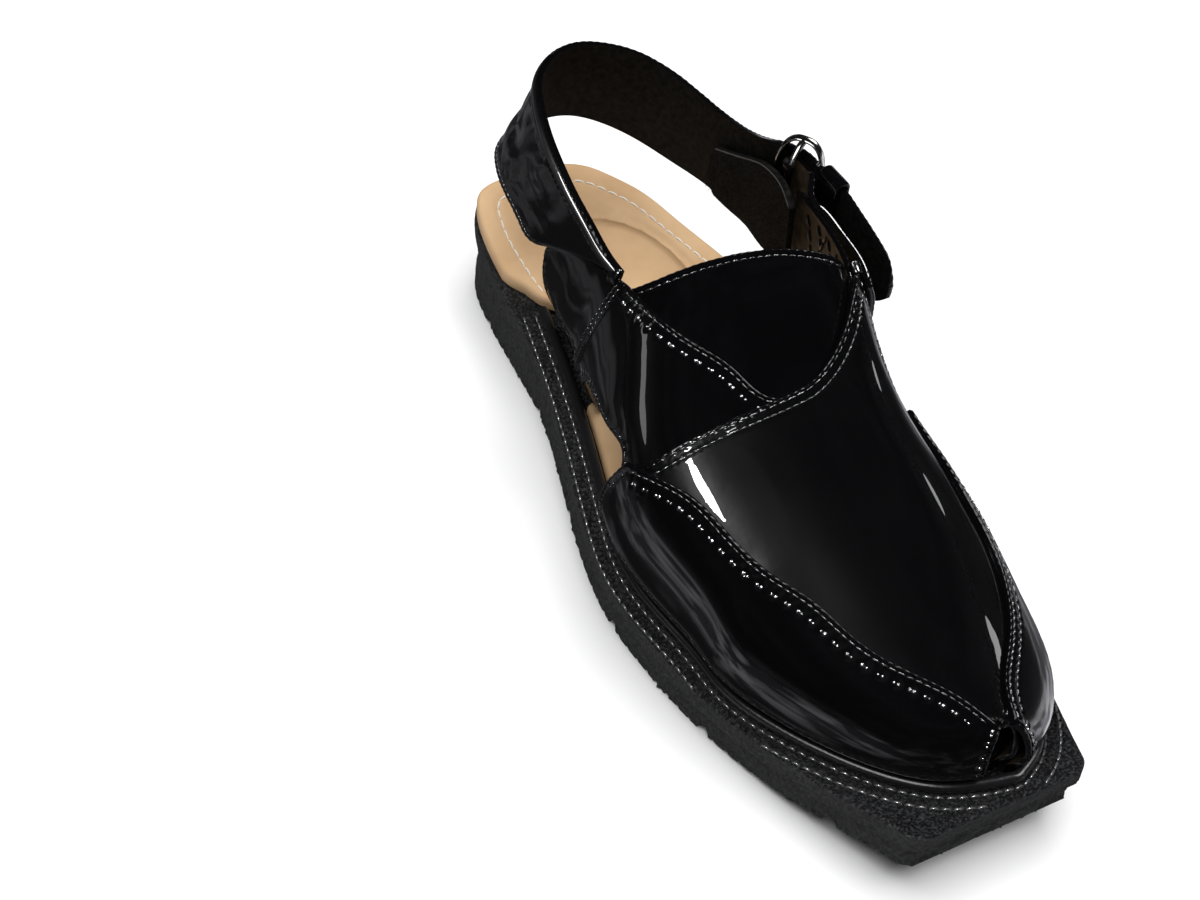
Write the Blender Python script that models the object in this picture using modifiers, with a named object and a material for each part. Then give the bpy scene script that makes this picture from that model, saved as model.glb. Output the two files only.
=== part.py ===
"""Peshawari chappal, left shoe: a lasted leather sandal on a thick rubber sole.

Lengths are in millimetres in the shoe's own coordinates until world() turns them into metres:
x runs across the shoe, plus to the lateral side; a runs along it from the heel to the toe; z is up.
A place on the last is (station, across): across is -1 on the medial feather edge, 0 on the ridge and
+1 on the lateral feather edge. Leather lies on the last in layers, each with its lift from it.
"""
import math

import bmesh
import bpy
import numpy as np

OBJECT = "peshawari_chappal"

# ------------------------------------------------------------------ driving dimensions
X_MID = -1.48           # the frame's origin, under the middle of the whole shoe's box
A_MID = 141.91

TREAD_FLAT_END = 205.0  # the tread is flat from the heel to here, then springs up to the toe
TOE_SPRING = 13.2
SPRING_POWER = 1.7
SOLE_FRONT = 286.5
MIDSOLE = 6.5
GROOVE = 0.3            # the parting line between midsole and outsole
OUTSOLE_INSET = 1.5
LUG_PITCH = 46.5
LUG_FIRST = 28.0
LUG_LAST = 262.0
LUG_GAP = 3.6
LUG_DEPTH = 3.2
LUG_DRAFT = 0.6

CORD_RADIUS = 1.8
CORD_HEIGHT = 2.2
CORD_BACK = (54.0, 78.0)    # where the cord's medial and lateral end stop

INSOLE_LIFT = 0.3
INSOLE_THICK = 3.7
INSOLE_HEEL_THICK = 4.7
SEAT_FRONT = 60.0
SEAT_RISE = 22.0            # length of the step up from the forepart's thickness to the seat's
SEAT_DISH = 2.0
SEAT_MIDDLE = (3.0, 34.0)
SEAT_SPREAD = (17.0, 24.0)
INSOLE_OVER = (36.0, 65.0)  # the insole covers the sole's rim as far as here, medially and laterally
INSOLE_SHY = 2.0            # how far its medial edge draws in from the sole's rim by there
INSOLE_WAIST = [(-28.6, 40.5), (-25.6, 46.0)]   # x, a of its edge from there to the medial wall
INSOLE_INSET = (2.8, 8.5)   # inside the feather edge, where it is bare and where a wall stands

LINER = (-1.8, -3.3)    # outer and inner lift of each layer of leather
VAMP = (0.0, -1.2)
PANEL = (1.7, 0.6)
TONGUE = (-4.0, -5.4)

STRAP_THICK = 2.0
CHAPE_THICK = 1.8
PAD_THICK = 2.4
KEEPER_THICK = 0.9
WIRE = 1.4              # the buckle's wire, its radius
BAR = 1.2
PRONG = 0.8
BUCKLE_A = 84.0
BUCKLE_Z = 84.7

# ------------------------------------------------------------------ the last
FEATHER_GAP = 0.4       # the leather's lower edge above the midsole
CURL = 0.3              # share of a side that is the wall's turned-in foot
SHOULDER = 0.38         # height of the wall's widest line, as a share of the ridge's
WALL_INSET = 4.6        # the wall's foot inside the cord
WALL_STAND = 3.0        # height of the foot's upright part
WIDE = 65.0             # one side of the last is about this wide, for flat patterns

# station, x, a, z of the ridge
RIDGE = np.array([
    (60, 3.0, 60.0, 106.0),
    (95, 2.5, 95.0, 102.0),
    (130, 3.5, 130.0, 97.5),
    (160, 2.0, 160.0, 82.0),
    (190, -0.4, 190.0, 71.5),
    (220, -1.3, 220.0, 61.8),
    (245, -1.2, 248.0, 53.4),
    (266, 2.3, 274.5, 49.8),
])
# station, x and a of the feather edge, how far the wall bulges past it, squareness of the shoulder
MEDIAL = np.array([
    (60, -26.5, 60.0, 6.5, 0.80),
    (100, -34.9, 100.0, 5.0, 0.84),
    (140, -46.0, 140.0, 6.0, 0.83),
    (165, -51.0, 165.0, 6.2, 0.81),
    (200, -47.1, 200.0, 4.8, 0.84),
    (235, -39.2, 235.0, 3.2, 0.86),
    (249, -23.6, 261.8, 1.8, 0.89),
    (258, -8.8, 275.1, 0.2, 0.95),
    (266, 9.5, 280.6, -2.0, 1.05),
])
LATERAL = np.array([
    (60, 41.0, 60.0, 5.5, 0.54),
    (95, 42.1, 95.0, 4.5, 0.43),
    (130, 41.0, 130.0, 1.6, 0.36),
    (165, 39.5, 165.0, -3.4, 0.37),
    (200, 42.0, 200.0, -0.6, 0.60),
    (235, 40.4, 235.0, 1.8, 0.94),
    (249, 33.2, 259.0, 1.6, 1.20),
    (258, 21.8, 274.0, -0.8, 1.20),
    (266, 9.5, 280.6, -2.0, 1.05),
])
# a, z of the midsole's top
LEDGE = np.array([
    (0, 35.4), (35, 27.6), (60, 25.2), (90, 22.9), (120, 21.0),
    (150, 19.3), (205, 17.1), (235, 19.3), (265, 24.0), (292, 30.2),
])
# a, x of the medial rim, x of the lateral rim of the sole
RIM = [
    (-2, -12.0, 8.0), (2, -25.5, 18.5), (8, -29.0, 25.0), (18, -31.6, 33.0), (35, -33.6, 40.0),
    (55, -35.0, 47.0), (76, -37.0, 50.6), (100, -42.8, 49.3), (120, -48.8, 48.0),
    (145, -55.2, 49.0), (165, -57.9, 50.5), (185, -56.9, 51.1), (207, -53.8, 50.8),
    (228, -48.8, 48.7), (248, -42.7, 45.0), (262, -37.6, 40.5), (275, -32.4, 35.5),
    (SOLE_FRONT, -28.5, 31.3),
]

# ------------------------------------------------------------------ edges of the leather, (station, across)
QUARTER_BACK = [(61, -1.0), (61, -0.636)]
THROAT = [
    (61, -0.636), (74.5, -0.533), (91.8, -0.435), (109, -0.362), (128, -0.296), (143, -0.208),
    (153, -0.141), (163.8, -0.063), (162.5, 0.08), (157, 0.206), (150, 0.261), (143, 0.303),
    (134, 0.354), (125, 0.369), (95, 0.372),
]
LATERAL_BACK = [(95, 0.372), (76, 1.0)]
LINER_FRONT = [(265.0, 1.0), (265.0, 0.6), (262.0, 0.35), (258.5, 0.0), (259.5, -0.3), (260.5, -0.6),
               (260.5, -1.0)]
WAIST_GAP = [(153, -1.0), (149.5, -0.531), (140, -0.582), (122, -0.663), (113, -0.7), (107, -0.76),
             (103.5, -1.0)]
VAMP_BACK = [
    (150, -0.551), (160.8, -0.44), (163.5, -0.326), (164.5, -0.189), (164.2, -0.063), (161.7, 0.06),
    (157.4, 0.155), (150.4, 0.239), (143.3, 0.29), (132.2, 0.374),
]
VAMP_LATERAL = [(132.2, 0.374), (143, 0.382), (158, 0.39), (174, 0.439), (190, 0.434), (210, 0.424),
                (232, 0.453), (244, 0.378), (255, 0.26), (263.5, 0.22)]
VAMP_MEDIAL = [(263.5, -0.21), (257, -0.185), (250, -0.209), (235, -0.276), (210, -0.354),
               (180, -0.42), (150, -0.551)]
MEDIAL_TOP = [(157, -0.484), (178.5, -0.358), (191, -0.342), (211, -0.296), (226, -0.233),
              (238.5, -0.206), (248, -0.145), (257, -0.109), (263.8, -0.15)]
MEDIAL_FRONT = [(263.8, -0.15), (261.5, -0.419), (261, -0.7), (261.5, -1.0)]
MEDIAL_BACK = [(148, -1.0), (150, -0.8), (152, -0.665), (155.5, -0.545), (157, -0.484)]
LATERAL_TOP = [(264.0, 0.2), (257, 0.18), (244, 0.299), (232, 0.39), (210, 0.376), (190, 0.393),
               (174, 0.402)]
PANEL_BACK = [(174, 0.402), (166, 1.0)]
TONGUE_TOP = [(108, -0.392), (113, -0.316), (118, -0.155), (120, 0.0), (122.5, 0.136),
              (127, 0.249), (130, 0.339), (131, 0.376)]
TONGUE_ROOT = [(178, 0.376), (178, -0.392)]

# ------------------------------------------------------------------ straps, as x, a, z of the outer face
# upper edge, then lower edge
HEEL_STRAP = [
    ((-31.0, 98.0, 88.5), (-34.0, 54.0, 62.0)),
    ((-31.8, 88.0, 92.5), (-33.8, 46.0, 63.5)),
    ((-31.6, 76.0, 95.5), (-33.0, 38.0, 64.5)),
    ((-30.0, 64.0, 97.0), (-31.8, 30.0, 64.5)),
    ((-27.0, 50.0, 97.5), (-29.5, 21.0, 64.5)),
    ((-22.0, 34.0, 97.0), (-25.0, 11.0, 64.5)),
    ((-14.5, 17.0, 96.0), (-17.0, 4.0, 65.0)),
    ((-4.0, 5.5, 95.0), (-6.0, 0.5, 65.5)),
    ((8.0, 1.8, 95.0), (8.0, -0.5, 64.0)),
    ((20.0, 5.5, 94.0), (20.0, 4.0, 61.0)),
    ((31.0, 14.0, 91.5), (31.0, 13.5, 57.0)),
    ((39.0, 27.0, 88.0), (38.5, 26.5, 54.5)),
    ((43.5, 42.5, 86.0), (43.7, 43.0, 54.5)),
    ((45.0, 61.7, 89.5), (45.0, 60.0, 57.5)),
    ((45.6, 71.0, 93.5), (45.8, 70.0, 65.0)),
    ((47.6, 77.0, 95.7), (47.8, 77.0, 72.8)),
    ((50.1, BUCKLE_A, 96.5), (50.1, BUCKLE_A, 73.0)),
    ((50.1, 92.0, 97.0), (50.1, 92.0, 73.4)),
    ((50.5, 102.0, 97.3), (50.5, 102.0, 73.0)),
    ((50.4, 116.0, 95.3), (50.4, 116.0, 72.0)),
    ((50.1, 130.0, 92.3), (50.2, 130.0, 72.0)),
    ((50.0, 136.0, 88.5), (50.0, 136.0, 75.5)),
    ((49.9, 139.0, 83.5), (49.9, 139.0, 79.0)),
]
STRAP_ROWS = 46
STRAP_ROOT = (109.0, 61.0)  # stations of the quarter's edge that the strap grows from
ROOT_FADE = 6               # rows over which the root's bow goes flat
STRAP_LIFT = -1.3           # the strap's outer face where it joins the quarter
STRAP_SEAM_GAP = 0.45
# a, lift, z of the upper and lower edge of the chape's outer face, from its sewn end backwards
CHAPE_ON_WALL = [
    (140, 2.9, 87.0, 66.0), (132, 2.9, 88.5, 66.0), (124, 2.0, 90.0, 66.5),
    (116, 1.1, 91.0, 67.5), (108, 0.6, 92.0, 69.0), (100, 0.6, 93.0, 71.0),
]
CHAPE_AT_BAR = (95.0, 73.5)
CHAPE_FREE = [(47.0, 93.0), (47.2, 89.0)]   # x, a of the chape's outer face on its way to the bar
CHAPE_BAR_GAP = 0.3
BAR_X = 43.9
BAR_A = 85.5
FRAME_X = (43.3, 52.6)      # x of the frame's rear limb, inside the strap, and front limb, outside it
FRAME_HALF = (6.4, 17.0)    # half its length along a and its height
FRAME_SQUARE = 0.75
BAR_JOINT = (-2.2, 0.8, -1.5)    # x, a, z from the frame's middle line to the bar's bend
BAR_DROP = 4.2              # the bar's straight part ends this far inside the frame's height
PRONG_PATH = [(47.7, 0.0), (51.5, 0.3), (53.4, 1.4), (55.0, 3.0), (55.3, 6.0)]  # x, a past the bar
PRONG_HOLE = 1.7
KEEPER_A = (95.5, 106.0)
KEEPER_X = (47.5, 51.6)     # the keeper's middle line round the tail
KEEPER_Z = (70.6, 99.4)
KEEPER_CORNER = 1.2
# x, a, z of the pad's upper edge, then its lower edge
ANKLE_PAD = [
    ((41.5, 46.0, 74.0), (41.5, 46.0, 57.0)),
    ((42.0, 60.0, 80.5), (42.2, 60.0, 57.5)),
    ((42.0, 72.0, 86.5), (42.4, 72.0, 59.0)),
    ((40.4, 82.0, 90.5), (40.6, 82.0, 60.5)),
    ((39.0, 92.0, 91.0), (40.4, 92.0, 61.5)),
    ((37.8, 99.0, 88.0), (40.2, 99.0, 64.0)),
]

# name: base colour, roughness, metallic
FINISHES = {
    "rubber": ((0.028, 0.029, 0.031), 0.75, 0.0),
    "patent_leather": ((0.008, 0.008, 0.009), 0.18, 0.0),
    "rand": ((0.015, 0.015, 0.017), 0.35, 0.0),
    "tan_leather": ((0.55, 0.36, 0.20), 0.55, 0.0),
    "lining": ((0.015, 0.013, 0.012), 0.80, 0.0),
    "nickel": ((0.62, 0.60, 0.57), 0.22, 1.0),
}


# ------------------------------------------------------------------ curves and the last's surface
def spline(xs, ys, x):
    """Natural cubic through the rows, carried on past both ends."""
    xs = np.asarray(xs, float)
    ys = np.asarray(ys, float)
    n = len(xs)
    h = np.diff(xs)
    a = np.eye(n)
    b = np.zeros(n)
    for i in range(1, n - 1):
        a[i, i - 1:i + 2] = h[i - 1], 2 * (h[i - 1] + h[i]), h[i]
        b[i] = 6 * ((ys[i + 1] - ys[i]) / h[i] - (ys[i] - ys[i - 1]) / h[i - 1])
    m = np.linalg.solve(a, b)
    x = np.asarray(x, float)
    k = np.clip(np.searchsorted(xs, x) - 1, 0, n - 2)
    hk = h[k]
    t = x - xs[k]
    u = hk - t
    bend = (m[k] * u ** 3 + m[k + 1] * t ** 3) / (6 * hk)
    return bend + (ys[k] / hk - m[k] * hk / 6) * u + (ys[k + 1] / hk - m[k + 1] * hk / 6) * t


def trace(points, step):
    """A smooth curve through the points, one point about every step."""
    points = np.asarray(points, float)
    run = np.r_[0, np.cumsum(np.linalg.norm(np.diff(points, axis=0), axis=1))]
    at = np.linspace(0, run[-1], max(2, int(round(run[-1] / step)) + 1))
    return np.stack([spline(run, points[:, k], at) for k in range(points.shape[1])], 1)


def ledge(a):
    return spline(LEDGE[:, 0], LEDGE[:, 1], a)


def side_column(station, across, column):
    """A column of the side's table, medial or lateral."""
    return np.where(across < 0, spline(MEDIAL[:, 0], MEDIAL[:, column], station),
                    spline(LATERAL[:, 0], LATERAL[:, column], station))


def last(station, across):
    """The last's surface as (x, a, z)."""
    station, across = np.broadcast_arrays(np.asarray(station, float), np.asarray(across, float))
    rx, ra, rz = [spline(RIDGE[:, 0], RIDGE[:, k], station) for k in (1, 2, 3)]
    bx, ba, bulge, square = [side_column(station, across, k) for k in (1, 2, 3, 4)]
    along = [side_column(station + 0.5, across, k) - side_column(station - 0.5, across, k) for k in (1, 2)]
    bz = ledge(ba) + FEATHER_GAP
    reach = np.hypot(rx - bx, ra - ba)
    skew = np.abs((rx - bx) * along[1] - (ra - ba) * along[0]) / reach / np.hypot(*along)
    foot_in = WALL_INSET / np.clip(skew, 0.5, 1)
    shoulder = bz + SHOULDER * (rz - bz)
    up = 1 - np.abs(across)
    foot = np.clip(up / CURL, 0, 1)
    stand = WALL_STAND / (shoulder - bz)
    swell = np.clip((foot - stand) / (1 - stand), 0, 1)
    turn = np.clip((up - CURL) / (1 - CURL), 0, 1) * np.pi / 2
    c = np.clip(np.cos(turn), 0, 1)
    s = np.sin(turn)
    power = 2 / square
    r = (c ** power + s ** power) ** (-1 / power)
    low = up < CURL
    inward = np.where(low, foot_in - (foot_in + bulge) * (1 - (1 - swell) ** 2),
                      -bulge + (reach + bulge) * (1 - c * r))
    z = np.where(low, bz + (shoulder - bz) * foot, shoulder + (rz - shoulder) * s * r)
    return np.stack([bx + (rx - bx) / reach * inward, ba + (ra - ba) / reach * inward, z], -1)


def lifted(station, across, lift):
    """A point that stands off the last's surface along its normal."""
    station, across, lift = np.broadcast_arrays(*(np.asarray(v, float) for v in (station, across, lift)))
    ds = last(station + 0.25, across) - last(station - 0.25, across)
    dv = last(station, across + 0.004) - last(station, across - 0.004)
    normal = np.cross(dv, ds)
    normal /= np.linalg.norm(normal, axis=-1, keepdims=True)
    return last(station, across) + normal * lift[..., None]


def world(points):
    """Shoe coordinates in millimetres to the object's frame in metres."""
    p = np.asarray(points, float)
    return np.stack([p[..., 0] - X_MID, A_MID - p[..., 1], p[..., 2]], -1) / 1000


def inset(points, by):
    """A closed outline moved inwards; its points run anticlockwise in x, a."""
    p = np.asarray(points, float)
    ahead = np.roll(p, -1, 0) - p
    ahead /= np.linalg.norm(ahead, axis=1, keepdims=True)
    left = np.stack([-ahead[:, 1], ahead[:, 0]], 1)
    before = np.roll(left, 1, 0)
    mitre = left + before
    return p + mitre * (by / (1 + np.sum(left * before, 1)))[:, None]


# ------------------------------------------------------------------ scene helpers
def clear_scene():
    for thing in list(bpy.data.objects):
        bpy.data.objects.remove(thing, do_unlink=True)


def collection(name):
    made = bpy.data.collections.new(name)
    bpy.context.scene.collection.children.link(made)
    return made


def finish_named(name):
    """The Principled material of that name, made once."""
    if name in bpy.data.materials:
        return bpy.data.materials[name]
    colour, roughness, metallic = FINISHES[name]
    material = bpy.data.materials.new(name)
    material.use_nodes = True
    shader = material.node_tree.nodes["Principled BSDF"]
    shader.inputs["Base Color"].default_value = (*colour, 1.0)
    shader.inputs["Roughness"].default_value = roughness
    shader.inputs["Metallic"].default_value = metallic
    return material


def add(name, data, finish):
    """A named object in the shoe's collection with its own copy of a finish."""
    thing = bpy.data.objects.new(name, data)
    SHOE.objects.link(thing)
    material = finish_named(finish).copy()
    material.name = name + "_" + finish
    data.materials.append(material)
    return thing


def add_mesh(name, bm, finish, smooth=True):
    data = bpy.data.meshes.new(name)
    bm.to_mesh(data)
    bm.free()
    if smooth:
        data.shade_smooth()
        data.set_sharp_from_angle(angle=math.radians(40))
    return add(name, data, finish)


def solidify(thing, thick, offset=-1.0):
    modifier = thing.modifiers.new("thickness", "SOLIDIFY")
    modifier.thickness = thick / 1000
    modifier.offset = offset
    return modifier


def ruled_sheet(outline, rules):
    """A flat sheet with that outline, cut into cells by ruled lines: rules is (axis, places)."""
    bm = bmesh.new()
    bm.faces.new([bm.verts.new((p, q, 0)) for p, q in outline])
    for axis, places in rules:
        for place in places:
            at = [0, 0, 0]
            at[axis] = place
            across = [0, 0, 0]
            across[axis] = 1
            everything = bm.verts[:] + bm.edges[:] + bm.faces[:]
            bmesh.ops.bisect_plane(bm, geom=everything, plane_co=at, plane_no=across, dist=0.02)
    return bm


def turn_faces(bm, outward):
    """Turns all faces over if they look against outward(centre)."""
    bm.normal_update()
    facing = sum(f.normal.dot(outward(f.calc_center_median())) * f.calc_area() for f in bm.faces)
    if facing < 0:
        bmesh.ops.reverse_faces(bm, faces=bm.faces[:])
    bm.normal_update()


def from_inside(centre):
    """The way out from a line along the middle of the shoe."""
    middle = world((1.0, 0.0, 45.0))
    return centre - type(centre)((middle[0], centre[1], middle[2]))


def ring(*edges, step):
    """One closed outline from edges that follow each other end to end."""
    points = []
    for edge in edges:
        points.extend(trace(edge, step)[:-1].tolist() if len(edge) > 2 else [list(edge[0])])
    return points


# ------------------------------------------------------------------ lasted leather
STATIONS = [*np.arange(65.5, 240, 8.5), 243.0, 248.0, 252.5, 256.0, 259.0, 262.0, 264.4]
RULES = (0.09, 0.18, 0.27, 0.36, 0.45, 0.55, 0.67, 0.80, 0.90, 0.97)
ACROSS = [*(-v for v in RULES), 0.0, *RULES]


def lasted(name, layer, *edges, finish="patent_leather"):
    """A piece of leather: cut flat, then pulled over the last at its layer's lift."""
    flat = [np.asarray(edge, float) * (1, WIDE) for edge in edges]
    bm = ruled_sheet(ring(*flat, step=7.0), ((0, STATIONS), (1, [v * WIDE for v in ACROSS])))
    many = [f for f in bm.faces if len(f.verts) > 4]
    bmesh.ops.triangulate(bm, faces=many)
    place = np.array([v.co[:2] for v in bm.verts])
    formed = world(lifted(place[:, 0], place[:, 1] / WIDE, layer[0]))
    for vert, co in zip(bm.verts, formed):
        vert.co = co
    turn_faces(bm, from_inside)
    thing = add_mesh(name, bm, finish)
    solidify(thing, layer[0] - layer[1])
    return thing


def make_upper():
    """Cross strap, quarters and the lining under the vamp: one hollow shell."""
    lateral_foot = [(76, 1.0), (265.0, 1.0)]
    medial_foot = [(260.5, -1.0), (153, -1.0)]
    quarter_foot = [(103.5, -1.0), (61, -1.0)]
    lasted("upper", LINER, QUARTER_BACK, THROAT, LATERAL_BACK, lateral_foot, LINER_FRONT,
           medial_foot, WAIST_GAP, quarter_foot)


def make_vamp():
    tip = [VAMP_LATERAL[-1], (264.6, 0.1), (264.3, 0.0), (264.4, -0.1), VAMP_MEDIAL[0]]
    lasted("vamp", VAMP, VAMP_BACK, VAMP_LATERAL, tip, VAMP_MEDIAL)


def make_side_panels():
    lasted("side_panel_medial", PANEL, MEDIAL_TOP, MEDIAL_FRONT, [(261.5, -1.0), (148, -1.0)],
           MEDIAL_BACK)
    lasted("side_panel_lateral", PANEL, LATERAL_TOP, PANEL_BACK, [(166, 1.0), (264.0, 1.0)],
           [(264.0, 1.0), (264.0, 0.2)])


def make_tongue():
    lasted("tongue", TONGUE, TONGUE_TOP, [TONGUE_TOP[-1], TONGUE_ROOT[0]], TONGUE_ROOT,
           [TONGUE_ROOT[1], TONGUE_TOP[0]])


# ------------------------------------------------------------------ sole
def rim_outline(step):
    """The sole's plan, anticlockwise in x, a, from the lateral toe corner over the toe to it again."""
    medial = [(x, a) for a, x, _ in reversed(RIM)]
    lateral = [(x, a) for a, _, x in RIM]
    return trace(medial + lateral, step)


def plate(name, outline, rules, top, bottom, finish):
    """A solid with that plan, between the heights top(x, a) and bottom(x, a)."""
    bm = ruled_sheet(outline, rules)
    upper = bm.verts[:]
    made = bmesh.ops.extrude_face_region(bm, geom=bm.faces[:] + bm.edges[:] + bm.verts[:], use_keep_orig=True)
    lower = [v for v in made["geom"] if isinstance(v, bmesh.types.BMVert)]
    for verts, height in ((upper, top), (lower, bottom)):
        x, a = np.array([v.co[:2] for v in verts]).T
        for vert, co in zip(verts, world(np.stack([x, a, height(x, a)], 1))):
            vert.co = co
    bmesh.ops.recalc_face_normals(bm, faces=bm.faces[:])
    return add_mesh(name, bm, finish)


def split_line(x, a):
    return ledge(a) - MIDSOLE


def tread(x, a):
    """The tread's height, with its cross grooves."""
    spring = TOE_SPRING * np.clip((a - TREAD_FLAT_END) / (SOLE_FRONT - TREAD_FLAT_END), 0, None) ** SPRING_POWER
    depth = np.zeros_like(a)
    for lug in np.arange(LUG_FIRST, LUG_LAST + 1, LUG_PITCH):
        share = (LUG_GAP / 2 - np.abs(a - lug)) / LUG_DRAFT
        depth = np.maximum(depth, LUG_DEPTH * np.clip(share, 0, 1))
    return spring + depth


def make_sole():
    rim = rim_outline(7.0)
    bends = list(np.arange(12, 285, 12.0))
    plate("midsole", rim, ((1, bends),), lambda x, a: ledge(a), split_line, "rubber")
    grooves = []
    for lug in np.arange(LUG_FIRST, LUG_LAST + 1, LUG_PITCH):
        half = LUG_GAP / 2
        grooves += [lug - half, lug - half + LUG_DRAFT, lug + half - LUG_DRAFT, lug + half]
    clear = [b for b in bends if min(abs(b - g) for g in grooves) > 1.0]
    plate("outsole", inset(rim, OUTSOLE_INSET), ((1, clear + grooves),),
          lambda x, a: split_line(x, a) - GROOVE, tread, "rubber")


def cord_line(step, back=CORD_BACK):
    """The feather edge from the medial waist round the toe to the lateral waist, as (x, a)."""
    medial, lateral = (np.arange(start, 266, 1.0) for start in back)
    sides = [np.stack([spline(t[:, 0], t[:, 1], s), spline(t[:, 0], t[:, 2], s)], 1)
             for t, s in ((MEDIAL, medial), (LATERAL, lateral[::-1]))]
    tip = [(MEDIAL[-1, 1], MEDIAL[-1, 2])]
    return trace(np.concatenate([sides[0], tip, sides[1]]), step)


def make_cord():
    """The rand: a cord laid round the upper's foot."""
    line = cord_line(6.5)
    places = np.column_stack([line, ledge(line[:, 1]) + CORD_HEIGHT])
    add("welt_bead", round_bar("welt_bead", places, CORD_RADIUS), "rand")


def feather_inset(line):
    """How far the insole keeps inside the feather edge at each point of it."""
    bare, walled = INSOLE_INSET
    medial = [(52, bare), (59, walled), (104, walled), (108, bare), (142, bare), (146, walled)]
    lateral = [(69, bare), (74, walled)]
    a = line[:, 1]
    return np.where(line[:, 0] < 0, np.interp(a, *zip(*medial)), np.interp(a, *zip(*lateral)))


def make_insole():
    """A leather sock that covers the heel's rim and runs on inside the walls."""
    rim = rim_outline(6.0)
    covered = np.where(rim[:, 0] < 3, rim[:, 1] < INSOLE_OVER[0], rim[:, 1] < INSOLE_OVER[1])
    heel = rim[covered][::-1]
    shy = np.clip(heel[:, 1] / INSOLE_OVER[0], 0, 1)
    heel[:, 0] += np.where(heel[:, 0] < 0, INSOLE_SHY * shy, 0)
    line = cord_line(2.0, (CORD_BACK[0], 70.0))
    ahead = np.gradient(line, axis=0)
    ahead /= np.linalg.norm(ahead, axis=1, keepdims=True)
    edge = line + np.stack([ahead[:, 1], -ahead[:, 0]], 1) * feather_inset(line)[:, None]
    turning = np.abs(np.gradient(feather_inset(line))) > 0.05
    keep = turning | (np.arange(len(line)) % 4 == 0)
    outline = np.concatenate([edge[keep], heel, INSOLE_WAIST])
    rules = ((1, list(np.arange(10, 275, 12.0))), (0, (-20.0, 3.0, 26.0)))

    def top(x, a):
        seat = np.clip((SEAT_FRONT - a) / SEAT_RISE, 0, 1)
        thick = INSOLE_THICK + (INSOLE_HEEL_THICK - INSOLE_THICK) * seat
        away = ((x - SEAT_MIDDLE[0]) / SEAT_SPREAD[0]) ** 2 + ((a - SEAT_MIDDLE[1]) / SEAT_SPREAD[1]) ** 2
        dish = SEAT_DISH * np.exp(-away)
        return ledge(a) + INSOLE_LIFT + thick - dish

    plate("insole", outline, rules, top, lambda x, a: ledge(a) + INSOLE_LIFT, "tan_leather")


# ------------------------------------------------------------------ straps
def ribbon(name, rows, thick, finish, outward, offset=-1.0, closed=False):
    """A band from a grid of points with thickness; closed joins its last row to the first."""
    bm = bmesh.new()
    grid = [[bm.verts.new(co) for co in world(row)] for row in rows]
    if closed:
        grid.append(grid[0])
    for before, after in zip(grid, grid[1:]):
        for k in range(len(before) - 1):
            bm.faces.new((before[k], before[k + 1], after[k + 1], after[k]))
    turn_faces(bm, outward)
    thing = add_mesh(name, bm, finish)
    solidify(thing, thick, offset)
    return thing


def resample(points, count):
    """Points at even shares of the rows, so that two edges stay in step."""
    points = np.asarray(points, float)
    own = np.arange(len(points))
    at = np.linspace(0, len(points) - 1, count)
    return np.stack([spline(own, points[:, k], at) for k in range(3)], 1)


def between(upper, lower, shares):
    """Rows of points from an upper edge to a lower one."""
    return upper[:, None] + (lower - upper)[:, None] * np.asarray(shares)[None, :, None]


def make_heel_strap():
    """The back strap, from the medial quarter's top edge round the heel, and its tail."""
    shares = np.linspace(0, 1, 5)
    seam = np.array(THROAT[:4])
    station = STRAP_ROOT[0] + (STRAP_ROOT[1] - STRAP_ROOT[0]) * shares
    root = lifted(station, spline(seam[:, 0], seam[:, 1], station) + STRAP_SEAM_GAP / WIDE, STRAP_LIFT)
    upper = resample([root[0]] + [row[0] for row in HEEL_STRAP], STRAP_ROWS)
    lower = resample([root[-1]] + [row[1] for row in HEEL_STRAP], STRAP_ROWS)
    rows = between(upper, lower, shares)
    bow = root - rows[0]
    fade = np.clip(1 - np.arange(STRAP_ROWS) / ROOT_FADE, 0, 1) ** 2
    strap = ribbon("heel_strap", rows + bow * fade[:, None, None], STRAP_THICK, "patent_leather", from_inside)
    hole = solid_of(round_bar("hole", [(x, BAR_A, BUCKLE_Z) for x in (46.0, 53.0)], PRONG_HOLE))
    combine(strap, "prong_hole", hole, "DIFFERENCE")


def make_buckle_strap():
    """The chape: sewn flat on the lateral quarter, back to the buckle's bar, round it and in."""
    rows = [[on_lateral_wall(a, z, lift) for z in np.linspace(high, low, 5)]
            for a, lift, high, low in CHAPE_ON_WALL]
    turn = BAR + CHAPE_BAR_GAP + CHAPE_THICK
    path = list(CHAPE_FREE)
    for angle in np.radians(np.arange(80, -91, -34)):
        path.append((BAR_X + turn * math.sin(angle), BAR_A - turn * math.cos(angle)))
    path.append((BAR_X - turn, BAR_A + 3.0))
    for x, a in path:
        rows.append([(x, a, z) for z in np.linspace(*CHAPE_AT_BAR, 5)])
    rows = np.array(rows)

    def outward(centre):
        return centre - type(centre)(world((BAR_X, BAR_A + 20, centre[2] * 1000)))

    ribbon("buckle_strap", rows, CHAPE_THICK, "patent_leather", outward)


def on_lateral_wall(a, z, lift):
    """The point of the lateral wall at that length and height, lifted."""
    across = np.linspace(0.3, 0.95, 200)
    heights = last(a, across)[:, 2]
    return lifted(a, np.interp(-z, -heights, across), lift)


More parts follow.
